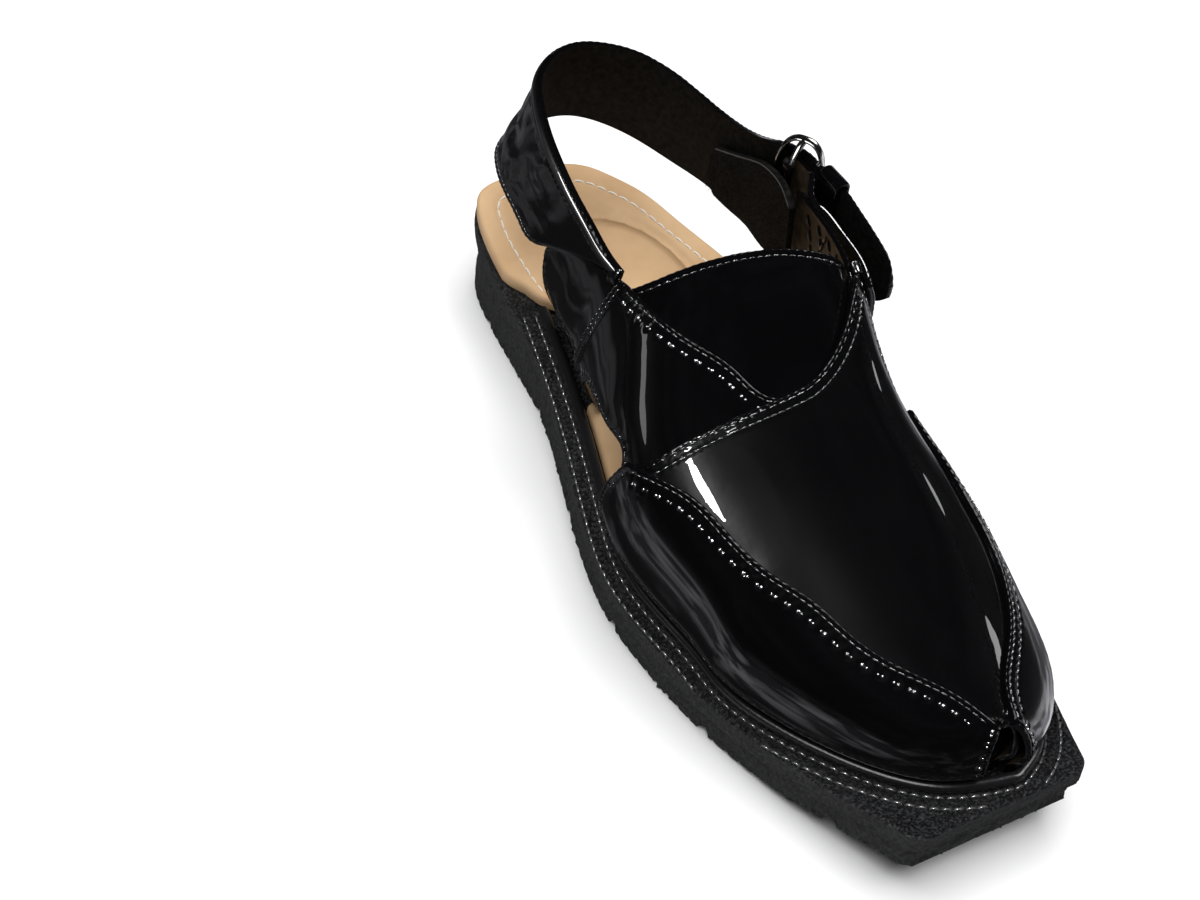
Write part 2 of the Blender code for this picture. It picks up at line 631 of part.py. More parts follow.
def make_keeper():
    """A leather loop round the strap's tail."""
    (x0, x1), (z0, z1) = KEEPER_X, KEEPER_Z
    loop = []
    for cx, cz, start in ((x1, z1, 0), (x0, z1, 90), (x0, z0, 180), (x1, z0, 270)):
        sx, sz = (1 if cx == x1 else -1), (1 if cz == z1 else -1)
        for angle in np.radians((start, start + 45, start + 90)):
            loop.append((cx - sx * KEEPER_CORNER + KEEPER_CORNER * math.cos(angle),
                         cz - sz * KEEPER_CORNER + KEEPER_CORNER * math.sin(angle)))
    rows = [[(x, a, z) for a in KEEPER_A] for x, z in loop]
    centre = world(((x0 + x1) / 2, 0, (z0 + z1) / 2))

    def outward(at):
        return at - type(at)((centre[0], at[1], centre[2]))

    ribbon("keeper", rows, KEEPER_THICK, "patent_leather", outward, offset=0.0, closed=True)


def make_ankle_pad():
    upper = resample([row[0] for row in ANKLE_PAD], 9)
    lower = resample([row[1] for row in ANKLE_PAD], 9)
    ribbon("ankle_pad", between(upper, lower, np.linspace(0, 1, 4)), PAD_THICK, "lining", from_inside)


# ------------------------------------------------------------------ buckle
def round_bar(name, places, radius, cyclic=False):
    """A curve of round section through places in shoe coordinates."""
    curve = bpy.data.curves.new(name, "CURVE")
    curve.dimensions = "3D"
    curve.bevel_depth = radius / 1000
    curve.bevel_resolution = 2
    curve.use_fill_caps = True
    run = curve.splines.new("POLY")
    run.points.add(len(places) - 1)
    run.use_cyclic_u = cyclic
    for point, co in zip(run.points, world(places)):
        point.co = (*co, 1.0)
    return curve


def solid_of(curve):
    """The closed mesh of a curve, its caps welded."""
    thing = bpy.data.objects.new("bar", curve)
    bpy.context.scene.collection.objects.link(thing)
    graph = bpy.context.evaluated_depsgraph_get()
    mesh = bpy.data.meshes.new_from_object(thing.evaluated_get(graph))
    bpy.data.objects.remove(thing)
    bm = bmesh.new()
    bm.from_mesh(mesh)
    bmesh.ops.remove_doubles(bm, verts=bm.verts[:], dist=1e-6)
    bm.to_mesh(mesh)
    bm.free()
    return mesh


def combine(thing, name, mesh, operation):
    """A Boolean of a thing with a guide solid, kept out of the render."""
    guide = bpy.data.objects.new(name, mesh)
    CUTTERS.objects.link(guide)
    guide.hide_render = True
    guide.display_type = "WIRE"
    modifier = thing.modifiers.new(name, "BOOLEAN")
    modifier.operation = operation
    modifier.object = guide


def make_buckle():
    """An oval frame set aslant: its rear limb is inside the strap, its front limb outside."""
    middle = sum(FRAME_X) / 2
    slant = (FRAME_X[1] - FRAME_X[0]) / 2
    oval = []
    for angle in np.radians(np.arange(0, 360, 15)):
        c, s = (math.copysign(abs(w) ** FRAME_SQUARE, w) for w in (math.cos(angle), math.sin(angle)))
        oval.append((middle + slant * c, BUCKLE_A + FRAME_HALF[0] * c, BUCKLE_Z + FRAME_HALF[1] * s))
    frame = add("buckle_frame", solid_of(round_bar("frame", oval, WIRE, cyclic=True)), "nickel")
    bend = (middle + BAR_JOINT[0], BUCKLE_A + BAR_JOINT[1], FRAME_HALF[1] + BAR_JOINT[2])
    upper_end = [(middle, BUCKLE_A, FRAME_HALF[1]), bend, (BAR_X, BAR_A, FRAME_HALF[1] - BAR_DROP)]
    lower_end = [(x, a, -rise) for x, a, rise in reversed(upper_end)]
    bar = [(x, a, BUCKLE_Z + rise) for x, a, rise in upper_end + lower_end]
    combine(frame, "buckle_bar", solid_of(round_bar("bar", bar, BAR)), "UNION")
    prong = [(x, BAR_A + past, BUCKLE_Z) for x, past in PRONG_PATH]
    add("buckle_prong", round_bar("prong", prong, PRONG), "nickel")


def main():
    make_upper()
    make_vamp()
    make_side_panels()
    make_tongue()
    make_sole()
    make_cord()
    make_insole()
    make_heel_strap()
    make_buckle_strap()
    make_keeper()
    make_ankle_pad()
    make_buckle()


clear_scene()
SHOE = collection(OBJECT)
CUTTERS = collection("cutters")
main()
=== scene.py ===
"""Looks of the peshawari chappal, left shoe: patent leather, stitching, rubber sole, buckle.

Lengths are millimetres in the shoe's own coordinates until world() turns them into metres: x runs
across the shoe, plus to the lateral side; a runs from the heel to the toe; z is up. A place on the
last is (station, across), with across -1 on the medial feather edge and +1 on the lateral one.
"""
import math

import bpy
import numpy as np
from mathutils import Euler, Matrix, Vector
from mathutils.geometry import delaunay_2d_cdt
from mathutils.kdtree import KDTree

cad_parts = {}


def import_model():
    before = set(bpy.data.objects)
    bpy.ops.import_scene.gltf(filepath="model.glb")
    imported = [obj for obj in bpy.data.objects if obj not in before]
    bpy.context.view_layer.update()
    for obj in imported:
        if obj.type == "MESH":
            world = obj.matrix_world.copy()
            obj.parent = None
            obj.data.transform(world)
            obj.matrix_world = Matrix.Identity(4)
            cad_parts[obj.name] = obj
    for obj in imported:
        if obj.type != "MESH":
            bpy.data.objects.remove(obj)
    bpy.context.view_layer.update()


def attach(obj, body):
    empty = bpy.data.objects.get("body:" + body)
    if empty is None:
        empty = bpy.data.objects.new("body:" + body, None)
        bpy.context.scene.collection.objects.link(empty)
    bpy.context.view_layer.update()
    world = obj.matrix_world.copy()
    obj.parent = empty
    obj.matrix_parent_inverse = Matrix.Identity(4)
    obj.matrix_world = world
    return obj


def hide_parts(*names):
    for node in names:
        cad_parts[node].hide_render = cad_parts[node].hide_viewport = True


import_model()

# ---- the last, as in the CAD
X_MID, A_MID = -1.48, 141.91
FEATHER_GAP = 0.4
CURL = 0.3              # share of a side that is the wall's turned-in foot
SHOULDER = 0.38
WALL_INSET = 4.6
WALL_STAND = 3.0
WIDE = 65.0             # one side of the last is about this wide, for flat patterns
A_MIDDLE = 150.0        # about half way along the sole

# station, x, a, z of the ridge
RIDGE = np.array([
    (60, 3.0, 60.0, 106.0), (95, 2.5, 95.0, 102.0), (130, 3.5, 130.0, 97.5), (160, 2.0, 160.0, 82.0),
    (190, -0.4, 190.0, 71.5), (220, -1.3, 220.0, 61.8), (245, -1.2, 248.0, 53.4), (266, 2.3, 274.5, 49.8),
])
# station, x and a of the feather edge, how far the wall bulges past it, squareness of the shoulder
MEDIAL = np.array([
    (60, -26.5, 60.0, 6.5, 0.80), (100, -34.9, 100.0, 5.0, 0.84), (140, -46.0, 140.0, 6.0, 0.83),
    (165, -51.0, 165.0, 6.2, 0.81), (200, -47.1, 200.0, 4.8, 0.84), (235, -39.2, 235.0, 3.2, 0.86),
    (249, -23.6, 261.8, 1.8, 0.89), (258, -8.8, 275.1, 0.2, 0.95), (266, 9.5, 280.6, -2.0, 1.05),
])
LATERAL = np.array([
    (60, 41.0, 60.0, 5.5, 0.54), (95, 42.1, 95.0, 4.5, 0.43), (130, 41.0, 130.0, 1.6, 0.36),
    (165, 39.5, 165.0, -3.4, 0.37), (200, 42.0, 200.0, -0.6, 0.60), (235, 40.4, 235.0, 1.8, 0.94),
    (249, 33.2, 259.0, 1.6, 1.20), (258, 21.8, 274.0, -0.8, 1.20), (266, 9.5, 280.6, -2.0, 1.05),
])
# a, z of the midsole's top
LEDGE = np.array([
    (0, 35.4), (35, 27.6), (60, 25.2), (90, 22.9), (120, 21.0),
    (150, 19.3), (205, 17.1), (235, 19.3), (265, 24.0), (292, 30.2),
])
# a, x of the medial rim, x of the lateral rim of the sole
RIM = [
    (-2, -12.0, 8.0), (2, -25.5, 18.5), (8, -29.0, 25.0), (18, -31.6, 33.0), (35, -33.6, 40.0),
    (55, -35.0, 47.0), (76, -37.0, 50.6), (100, -42.8, 49.3), (120, -48.8, 48.0),
    (145, -55.2, 49.0), (165, -57.9, 50.5), (185, -56.9, 51.1), (207, -53.8, 50.8),
    (228, -48.8, 48.7), (248, -42.7, 45.0), (262, -37.6, 40.5), (275, -32.4, 35.5), (286.5, -28.5, 31.3),
]
SOLE_FRONT = 286.5
MIDSOLE = 6.5
TREAD_FLAT_END = 205.0
TOE_SPRING = 13.2

# ---- leather edges, (station, across)
QUARTER_BACK = [(61, -1.0), (61, -0.636)]
THROAT = [
    (61, -0.636), (74.5, -0.533), (91.8, -0.435), (109, -0.362), (128, -0.296), (143, -0.208),
    (153, -0.141), (163.8, -0.063), (162.5, 0.08), (157, 0.206), (150, 0.261), (143, 0.303),
    (134, 0.354), (125, 0.369), (95, 0.372),
]
LATERAL_BACK = [(95, 0.372), (76, 1.0)]
LINER_FRONT = [(265.0, 1.0), (265.0, 0.6), (262.0, 0.35), (258.5, 0.0), (259.5, -0.3), (260.5, -0.6),
               (260.5, -1.0)]
WAIST_GAP = [(153, -1.0), (149.5, -0.531), (140, -0.582), (122, -0.663), (113, -0.7), (107, -0.76),
             (103.5, -1.0)]
VAMP_BACK = [
    (155, -0.512), (160.8, -0.44), (163.5, -0.326), (164.5, -0.189), (164.2, -0.063), (161.7, 0.06),
    (157.4, 0.155), (150.4, 0.239), (143.3, 0.29), (132.2, 0.374),
]
VAMP_LATERAL = [(132.2, 0.374), (143, 0.382), (158, 0.39), (174, 0.439), (190, 0.434), (210, 0.424),
                (232, 0.453), (244, 0.378), (255, 0.26), (263.5, 0.22)]
VAMP_TIP = [(263.5, 0.22), (264.6, 0.1), (264.3, 0.0), (264.4, -0.1), (263.5, -0.21)]
VAMP_MEDIAL = [(263.5, -0.21), (257, -0.185), (250, -0.209), (235, -0.276), (210, -0.354),
               (180, -0.42), (155, -0.512)]
MEDIAL_TOP = [(157, -0.484), (178.5, -0.358), (191, -0.342), (211, -0.296), (226, -0.233),
              (238.5, -0.206), (248, -0.145), (257, -0.109), (263.8, -0.15)]
MEDIAL_FRONT = [(263.8, -0.15), (261.5, -0.419), (261, -0.7), (261.5, -1.0)]
MEDIAL_BACK = [(148, -1.0), (150, -0.8), (152, -0.665), (155.5, -0.545), (157, -0.484)]
LATERAL_TOP = [(264.0, 0.2), (257, 0.18), (244, 0.299), (232, 0.39), (210, 0.376), (190, 0.393),
               (174, 0.402)]
PANEL_BACK = [(174, 0.402), (166, 1.0)]
TONGUE_TOP = [(108, -0.392), (113, -0.316), (118, -0.155), (120, 0.0), (122.5, 0.136),
              (127, 0.249), (130, 0.339), (131, 0.376)]

# straps, as x, a, z of the outer face: upper edge, then lower edge
BUCKLE_A, BUCKLE_Z = 84.0, 84.7
HEEL_STRAP = [
    ((-31.0, 98.0, 88.5), (-34.0, 54.0, 62.0)), ((-31.8, 88.0, 92.5), (-33.8, 46.0, 63.5)),
    ((-31.6, 76.0, 95.5), (-33.0, 38.0, 64.5)), ((-30.0, 64.0, 97.0), (-31.8, 30.0, 64.5)),
    ((-27.0, 50.0, 97.5), (-29.5, 21.0, 64.5)), ((-22.0, 34.0, 97.0), (-25.0, 11.0, 64.5)),
    ((-14.5, 17.0, 96.0), (-17.0, 4.0, 65.0)), ((-4.0, 5.5, 95.0), (-6.0, 0.5, 65.5)),
    ((8.0, 1.8, 95.0), (8.0, -0.5, 64.0)), ((20.0, 5.5, 94.0), (20.0, 4.0, 61.0)),
    ((31.0, 14.0, 91.5), (31.0, 13.5, 57.0)), ((39.0, 27.0, 88.0), (38.5, 26.5, 54.5)),
    ((43.5, 42.5, 86.0), (43.7, 43.0, 54.5)), ((45.0, 61.7, 89.5), (45.0, 60.0, 57.5)),
    ((45.6, 71.0, 93.5), (45.8, 70.0, 65.0)), ((47.6, 77.0, 95.7), (47.8, 77.0, 72.8)),
    ((50.1, BUCKLE_A, 96.5), (50.1, BUCKLE_A, 73.0)), ((50.1, 92.0, 97.0), (50.1, 92.0, 73.4)),
    ((50.5, 102.0, 97.3), (50.5, 102.0, 73.0)), ((50.4, 116.0, 95.3), (50.4, 116.0, 72.0)),
    ((50.1, 130.0, 92.3), (50.2, 130.0, 72.0)), ((50.0, 136.0, 88.5), (50.0, 136.0, 75.5)),
    ((49.9, 139.0, 83.5), (49.9, 139.0, 79.0)),
]
STRAP_LIFT = -1.3


# ---- curves and surfaces
# ends of the worn-in leather's soft troughs and ridges as (station, across), half width, depth
FOLDS = [
    ((168, 0.30), (238, 0.36), 5.0, -0.45), ((166, 0.20), (232, 0.22), 4.5, 0.35),
    ((170, 0.10), (222, 0.07), 6.0, -0.30), ((172, -0.22), (205, -0.30), 7.0, -0.25),
    ((118, -0.52), (150, -0.36), 4.0, -0.40), ((100, -0.80), (138, -0.52), 4.0, 0.35),
    ((84, -0.86), (98, -0.50), 4.0, -0.45), ((70, -0.90), (84, -0.58), 3.5, 0.30),
    ((176, -0.70), (214, -0.60), 6.0, -0.25), ((222, -0.62), (244, -0.42), 5.0, 0.20),
]
FOLD_FADE = 0.15        # share of a fold's length over which it fades out past each end


def unit(v):
    return v / np.linalg.norm(v, axis=-1, keepdims=True)


def spread(*values):
    """The values as float arrays of one shape."""
    return np.broadcast_arrays(*(np.asarray(v, float) for v in values))


def bell(t):
    return np.exp(-t ** 2)


def smooth(t):
    t = np.clip(t, 0, 1)
    return t * t * (3 - 2 * t)


def spline(xs, ys, x):
    """Natural cubic through the rows, carried on past both ends."""
    xs, ys, x = (np.asarray(v, float) for v in (xs, ys, x))
    n = len(xs)
    h = np.diff(xs)
    a = np.eye(n)
    b = np.zeros(n)
    for i in range(1, n - 1):
        a[i, i - 1:i + 2] = h[i - 1], 2 * (h[i - 1] + h[i]), h[i]
        b[i] = 6 * ((ys[i + 1] - ys[i]) / h[i] - (ys[i] - ys[i - 1]) / h[i - 1])
    m = np.linalg.solve(a, b)
    k = np.clip(np.searchsorted(xs, x) - 1, 0, n - 2)
    hk = h[k]
    t = x - xs[k]
    u = hk - t
    bend = (m[k] * u ** 3 + m[k + 1] * t ** 3) / (6 * hk)
    return bend + (ys[k] / hk - m[k] * hk / 6) * u + (ys[k + 1] / hk - m[k + 1] * hk / 6) * t


def column(table, k, x):
    """Column k of a table as a smooth function of its first column."""
    return spline(table[:, 0], table[:, k], x)


def run_of(points):
    """Length along a polyline up to each of its points."""
    return np.r_[0, np.cumsum(np.linalg.norm(np.diff(points, axis=0), axis=1))]


def between(at, run, points):
    """The places on a polyline at lengths along it."""
    return np.stack([np.interp(at, run, points[:, k]) for k in range(points.shape[1])], 1)


def trace(points, step):
    """A smooth curve through the points, one point about every step."""
    points = np.asarray(points, float)
    run = run_of(points)
    at = np.linspace(0, run[-1], max(2, int(round(run[-1] / step)) + 1))
    if len(points) == 2:
        return points[0] + (points[1] - points[0]) * (at / run[-1])[:, None]
    return np.stack([spline(run, points[:, k], at) for k in range(points.shape[1])], 1)


def level(flat):
    """Plan points as places at height zero."""
    return np.column_stack([flat, np.zeros(len(flat))])


def ahead_of(line, closed=False):
    return np.roll(line, -1, 0) - np.roll(line, 1, 0) if closed else np.gradient(line, axis=0)


def outwards(line, closed=False):
    """The way out of the sole's plan at each point of a line round it."""
    ahead = ahead_of(line, closed)
    out = unit(np.stack([ahead[:, 1], -ahead[:, 0]], 1))
    return out * np.sign(((line - (0, A_MIDDLE)) * out).sum())


def ledge(a):
    return column(LEDGE, 1, a)


def side_column(station, across, k):
    return np.where(across < 0, column(MEDIAL, k, station), column(LATERAL, k, station))


def last(station, across):
    """The last's surface as (x, a, z)."""
    rx, ra, rz = [column(RIDGE, k, station) for k in (1, 2, 3)]
    bx, ba, bulge, square = [side_column(station, across, k) for k in (1, 2, 3, 4)]
    along = [side_column(station + 0.5, across, k) - side_column(station - 0.5, across, k) for k in (1, 2)]
    bz = ledge(ba) + FEATHER_GAP
    reach = np.hypot(rx - bx, ra - ba)
    skew = np.abs((rx - bx) * along[1] - (ra - ba) * along[0]) / reach / np.hypot(*along)
    foot_in = WALL_INSET / np.clip(skew, 0.5, 1)
    shoulder = bz + SHOULDER * (rz - bz)
    up = 1 - np.abs(across)
    foot = np.clip(up / CURL, 0, 1)
    stand = WALL_STAND / (shoulder - bz)
    swell = np.clip((foot - stand) / (1 - stand), 0, 1)
    turn = np.clip((up - CURL) / (1 - CURL), 0, 1) * np.pi / 2
    c = np.clip(np.cos(turn), 0, 1)
    s = np.sin(turn)
    power = 2 / square
    r = (c ** power + s ** power) ** (-1 / power)
    low = up < CURL
    inward = np.where(low, foot_in - (foot_in + bulge) * (1 - (1 - swell) ** 2),
                      -bulge + (reach + bulge) * (1 - c * r))
    z = np.where(low, bz + (shoulder - bz) * foot, shoulder + (rz - shoulder) * s * r)
    return np.stack([bx + (rx - bx) / reach * inward, ba + (ra - ba) / reach * inward, z], -1)


def folds(station, across):
    """How far the folds lift or sink the leather."""
    lift = np.zeros(np.broadcast(station, across).shape)
    here = np.stack(np.broadcast_arrays(station, across * WIDE), -1)
    for start, end, half, depth in FOLDS:
        start = np.array(start) * (1, WIDE)
        way = np.array(end) * (1, WIDE) - start
        t = np.clip((here - start) @ way / (way @ way), -FOLD_FADE, 1 + FOLD_FADE)
        off = np.linalg.norm(here - start - t[..., None] * way, axis=-1)
        fade = smooth(np.minimum(t + FOLD_FADE, 1 + FOLD_FADE - t) / (2 * FOLD_FADE))
        lift += depth * bell(off / half) * fade
    return lift


def on_last(p, q, lift):
    """A place that stands off the last along its normal; q is across in pattern millimetres."""
    station, across, lift = spread(p, q / WIDE, lift)
    ds = last(station + 0.25, across) - last(station - 0.25, across)
    dv = last(station, across + 0.004) - last(station, across - 0.004)
    return last(station, across) + unit(np.cross(dv, ds)) * (lift + folds(station, across))[..., None]


def world(points):
    """Shoe coordinates in millimetres to the frame in metres."""
    p = np.asarray(points, float)
    return np.stack([p[..., 0] - X_MID, A_MID - p[..., 1], p[..., 2]], -1) / 1000


def rough(points, size, seed):
    """Smooth noise between -1 and 1 at places in millimetres, its lumps about size across."""
    p = np.asarray(points, float) / size
    cell = np.floor(p).astype(np.int64)
    t = smooth(p - cell)
    total = np.zeros(len(p))
    for corner in range(8):
        step = np.array([(corner >> k) & 1 for k in range(3)])
        c = cell + step
        h = c[:, 0] * 374761393 + c[:, 1] * 668265263 + c[:, 2] * 2147483647 + seed * 974711
        h = (h ^ (h >> 13)) * 1274126177
        value = ((h ^ (h >> 16)) & 0xffff) / 32767.5 - 1
        total += value * np.prod(np.where(step == 1, t, 1 - t), axis=1)
    return total


# ---- materials
def feed(made, target, sockets):
    """Gives inputs of a node their values, or links from other nodes' outputs."""
    for key, value in sockets.items():
        if isinstance(value, bpy.types.NodeSocket):
            made.node_tree.links.new(value, target.inputs[key])
        else:
            target.inputs[key].default_value = value


def node(made, kind, sockets=None, out=0, **settings):
    """Adds a node and returns one of its outputs."""
    added = made.node_tree.nodes.new("ShaderNode" + kind)
    for key, value in settings.items():
        setattr(added, key, value)
    feed(made, added, sockets or {})
    return added.outputs[out]


def noise(made, scale, detail, place="Object"):
    """Noise over the object's own metres, or over a world's directions."""
    where = node(made, "TexCoord", out=place)
    return node(made, "TexNoise", {"Vector": where, "Scale": scale, "Detail": detail})


def ramp(made, source, *stops):
    """A colour ramp through stops of a position and a colour or grey."""
    added = made.node_tree.nodes.new("ShaderNodeValToRGB")
    elements = added.color_ramp.elements
    for index, (position, colour) in enumerate(stops):
        stop = elements[index] if index < 2 else elements.new(position)
        stop.position = position
        stop.color = (*np.full(3, colour, float), 1)
    feed(made, added, {"Fac": source})
    return added.outputs["Color"]


def climb(made, source, low, high, top):
    """From 0 to top while the source goes from low to high."""
    return node(made, "MapRange", {"Value": source, "From Min": low, "From Max": high, "To Max": top})


def maths(made, operation, first, second):
    return node(made, "Math", {0: first, 1: second}, operation=operation)


def material(name, colour, roughness, tint=None, bumps=(), coat=(0.0, 0.03), **sockets):
    """tint is (scale, detail, (position, dark), (position, light)) of noise in the base colour; bumps are
    layers of (scale, detail, distance in metres, strength)."""
    made = bpy.data.materials.new("look_" + name)
    made.use_nodes = True
    shader = made.node_tree.nodes["Principled BSDF"]
    feed(made, shader, {"Base Color": (*colour, 1), "Roughness": roughness, "Coat Weight": coat[0],
                        "Coat Roughness": coat[1], **sockets})
    if tint:
        scale, detail, *stops = tint
        feed(made, shader, {"Base Color": ramp(made, noise(made, scale, detail), *stops)})
    normal = {}
    for scale, detail, distance, strength in bumps:
        height = noise(made, scale, detail)
        normal = {"Normal": node(made, "Bump", {"Height": height, "Distance": distance,
                                                "Strength": strength, **normal})}
    feed(made, shader, normal)
    return made


HOLLOW = ((4.0, 58.0), (28.5, 38.5))    # the seat's worn hollow: its middle and half sizes, as (x, a)


def paint_seat_shade(made):
    """Paints shade into the base colour: darker along the lateral and back edge of the seat's hollow, where
    its wall is in shadow.
    """
    place = node(made, "TexCoord", out="Object")
    per_metre = 1000 / np.array(HOLLOW[1])
    middle = world((*HOLLOW[0], 0))[:2]
    turned = node(made, "Mapping", {"Vector": place, "Location": (*(-middle * per_metre), 0),
                                    "Scale": (*per_metre, 0)})
    far = node(made, "VectorMath", {0: turned}, out="Value", operation="LENGTH")
    # painted shade: a ring at the hollow's edge, kept to the lateral side
    ring = ramp(made, far, (0.84, 0), (0.97, 1), (1.0, 0))
    lateral = climb(made, node(made, "SeparateXYZ", {0: place}, out="X"), 0.002, 0.018, 0.62)
    shader = made.node_tree.nodes["Principled BSDF"]
    colour = shader.inputs["Base Color"].links[0].from_socket
    # the painted shade's brown, multiplied into the leather's own colour
    painted_shade_colour = node(made, "Mix", {"Factor": maths(made, "MULTIPLY", ring, lateral), 6: colour,
                               7: (0.30, 0.24, 0.18, 1)}, out=2, data_type="RGBA", blend_type="MULTIPLY")
    feed(made, shader, {"Base Color": painted_shade_colour})


TWIST = [(2600, 2, 0.0002, 0.8)]
CUT = [(1500, 6, 0.0006, 1.0), (420, 5, 0.0014, 0.8)]
LOOK = {m.name.removeprefix("look_"): m for m in (
    material("patent_leather", (0.0016, 0.0016, 0.0019), 0.34, coat=(1.0, 0.02),
             bumps=[(55, 2, 0.0006, 0.25), (170, 2, 0.00025, 0.30), (420, 2, 0.00005, 0.35)],
             **{"Specular IOR Level": 0.12}),
    material("brown_lining", (0.03, 0.024, 0.019), 0.62, bumps=[(900, 4, 0.0002, 0.5)],
             tint=(260, 4, (0.35, (0.030, 0.022, 0.014)), (0.65, (0.078, 0.058, 0.036)))),
    material("black_lining", (0.006, 0.006, 0.006), 0.82,
             bumps=[(1600, 4, 0.0002, 0.7), (160, 3, 0.0006, 0.3)],
             tint=(500, 4, (0.35, (0.0035, 0.0033, 0.003)), (0.65, (0.010, 0.0095, 0.009))),
             **{"Specular IOR Level": 0.25}),
    material("tan_leather", (0.6, 0.42, 0.25), 0.42, coat=(0.15, 0.25),
             bumps=[(70, 3, 0.0007, 0.25), (1400, 4, 0.00012, 0.35)],
             tint=(38, 4, (0.3, (0.50, 0.315, 0.165)), (0.7, (0.64, 0.435, 0.25)))),
    material("cut_rubber", (0.026, 0.027, 0.029), 0.82, bumps=[*CUT, (130, 3, 0.0015, 0.6)],
             tint=(900, 7, (0.32, (0.008, 0.0085, 0.009)), (0.7, (0.034, 0.035, 0.037)))),
    material("ledge_rubber", (0.01, 0.01, 0.01), 0.6, bumps=CUT,
             tint=(1200, 7, (0.46, (0.003, 0.003, 0.0035)), (0.72, (0.040, 0.041, 0.043)))),
    material("rand_cord", (0.009, 0.009, 0.010), 0.30, coat=(0.4, 0.2),
             bumps=[(160, 3, 0.0005, 0.35), (1500, 3, 0.0001, 0.4)]),
    material("black_thread", (0.008, 0.008, 0.009), 0.30, coat=(1.0, 0.08), bumps=[(2600, 2, 0.0002, 0.6)]),
    material("sole_thread", (0.06, 0.06, 0.06), 0.42, coat=(0.8, 0.12), bumps=TWIST),
    material("fibre", (0.012, 0.012, 0.013), 0.5, bumps=[(3000, 2, 0.0001, 0.5)]),
    material("grey_trim", (0.07, 0.07, 0.07), 0.7, bumps=TWIST),
    material("white_thread", (0.80, 0.77, 0.70), 0.6, bumps=TWIST),
    material("nickel", (0.66, 0.65, 0.63), 0.16, bumps=[(700, 3, 0.00006, 0.5)], Metallic=1.0),
)}
# painted shade along the wall of the seat's hollow, in the tan leather's colour
paint_seat_shade(LOOK["tan_leather"])


# ---- sheets cut to an outline
class Path:
    """A polyline, open or closed, that finds the nearest place on itself."""

    def __init__(self, points, closed=False):
        self.count = len(points)
        self.closed = closed
        self.points = np.vstack([points, points[:1]]) if closed else points
        self.run = run_of(self.points)
        self.tree = KDTree(self.count)
        for i in range(self.count):
            self.tree.insert(points[i], i)
        self.tree.balance()

    def nearest(self, points):
        """Distance to the line, length along it, and index of the nearest of its points."""
        index = np.array([self.tree.find(co)[1] for co in points])
        best = np.full(len(points), np.inf)
        run = np.zeros(len(points))
        for first in (index - 1, index):
            i = first % self.count if self.closed else np.clip(first, 0, self.count - 2)
            way = self.points[i + 1] - self.points[i]
            there = points - self.points[i]
            t = np.clip(np.einsum("ij,ij->i", there, way) / np.einsum("ij,ij->i", way, way), 0, 1)
            off = np.linalg.norm(there - t[:, None] * way, axis=1)
            run = np.where(off < best, self.run[i] + t * (self.run[i + 1] - self.run[i]), run)
            best = np.minimum(best, off)
        return best, run, index


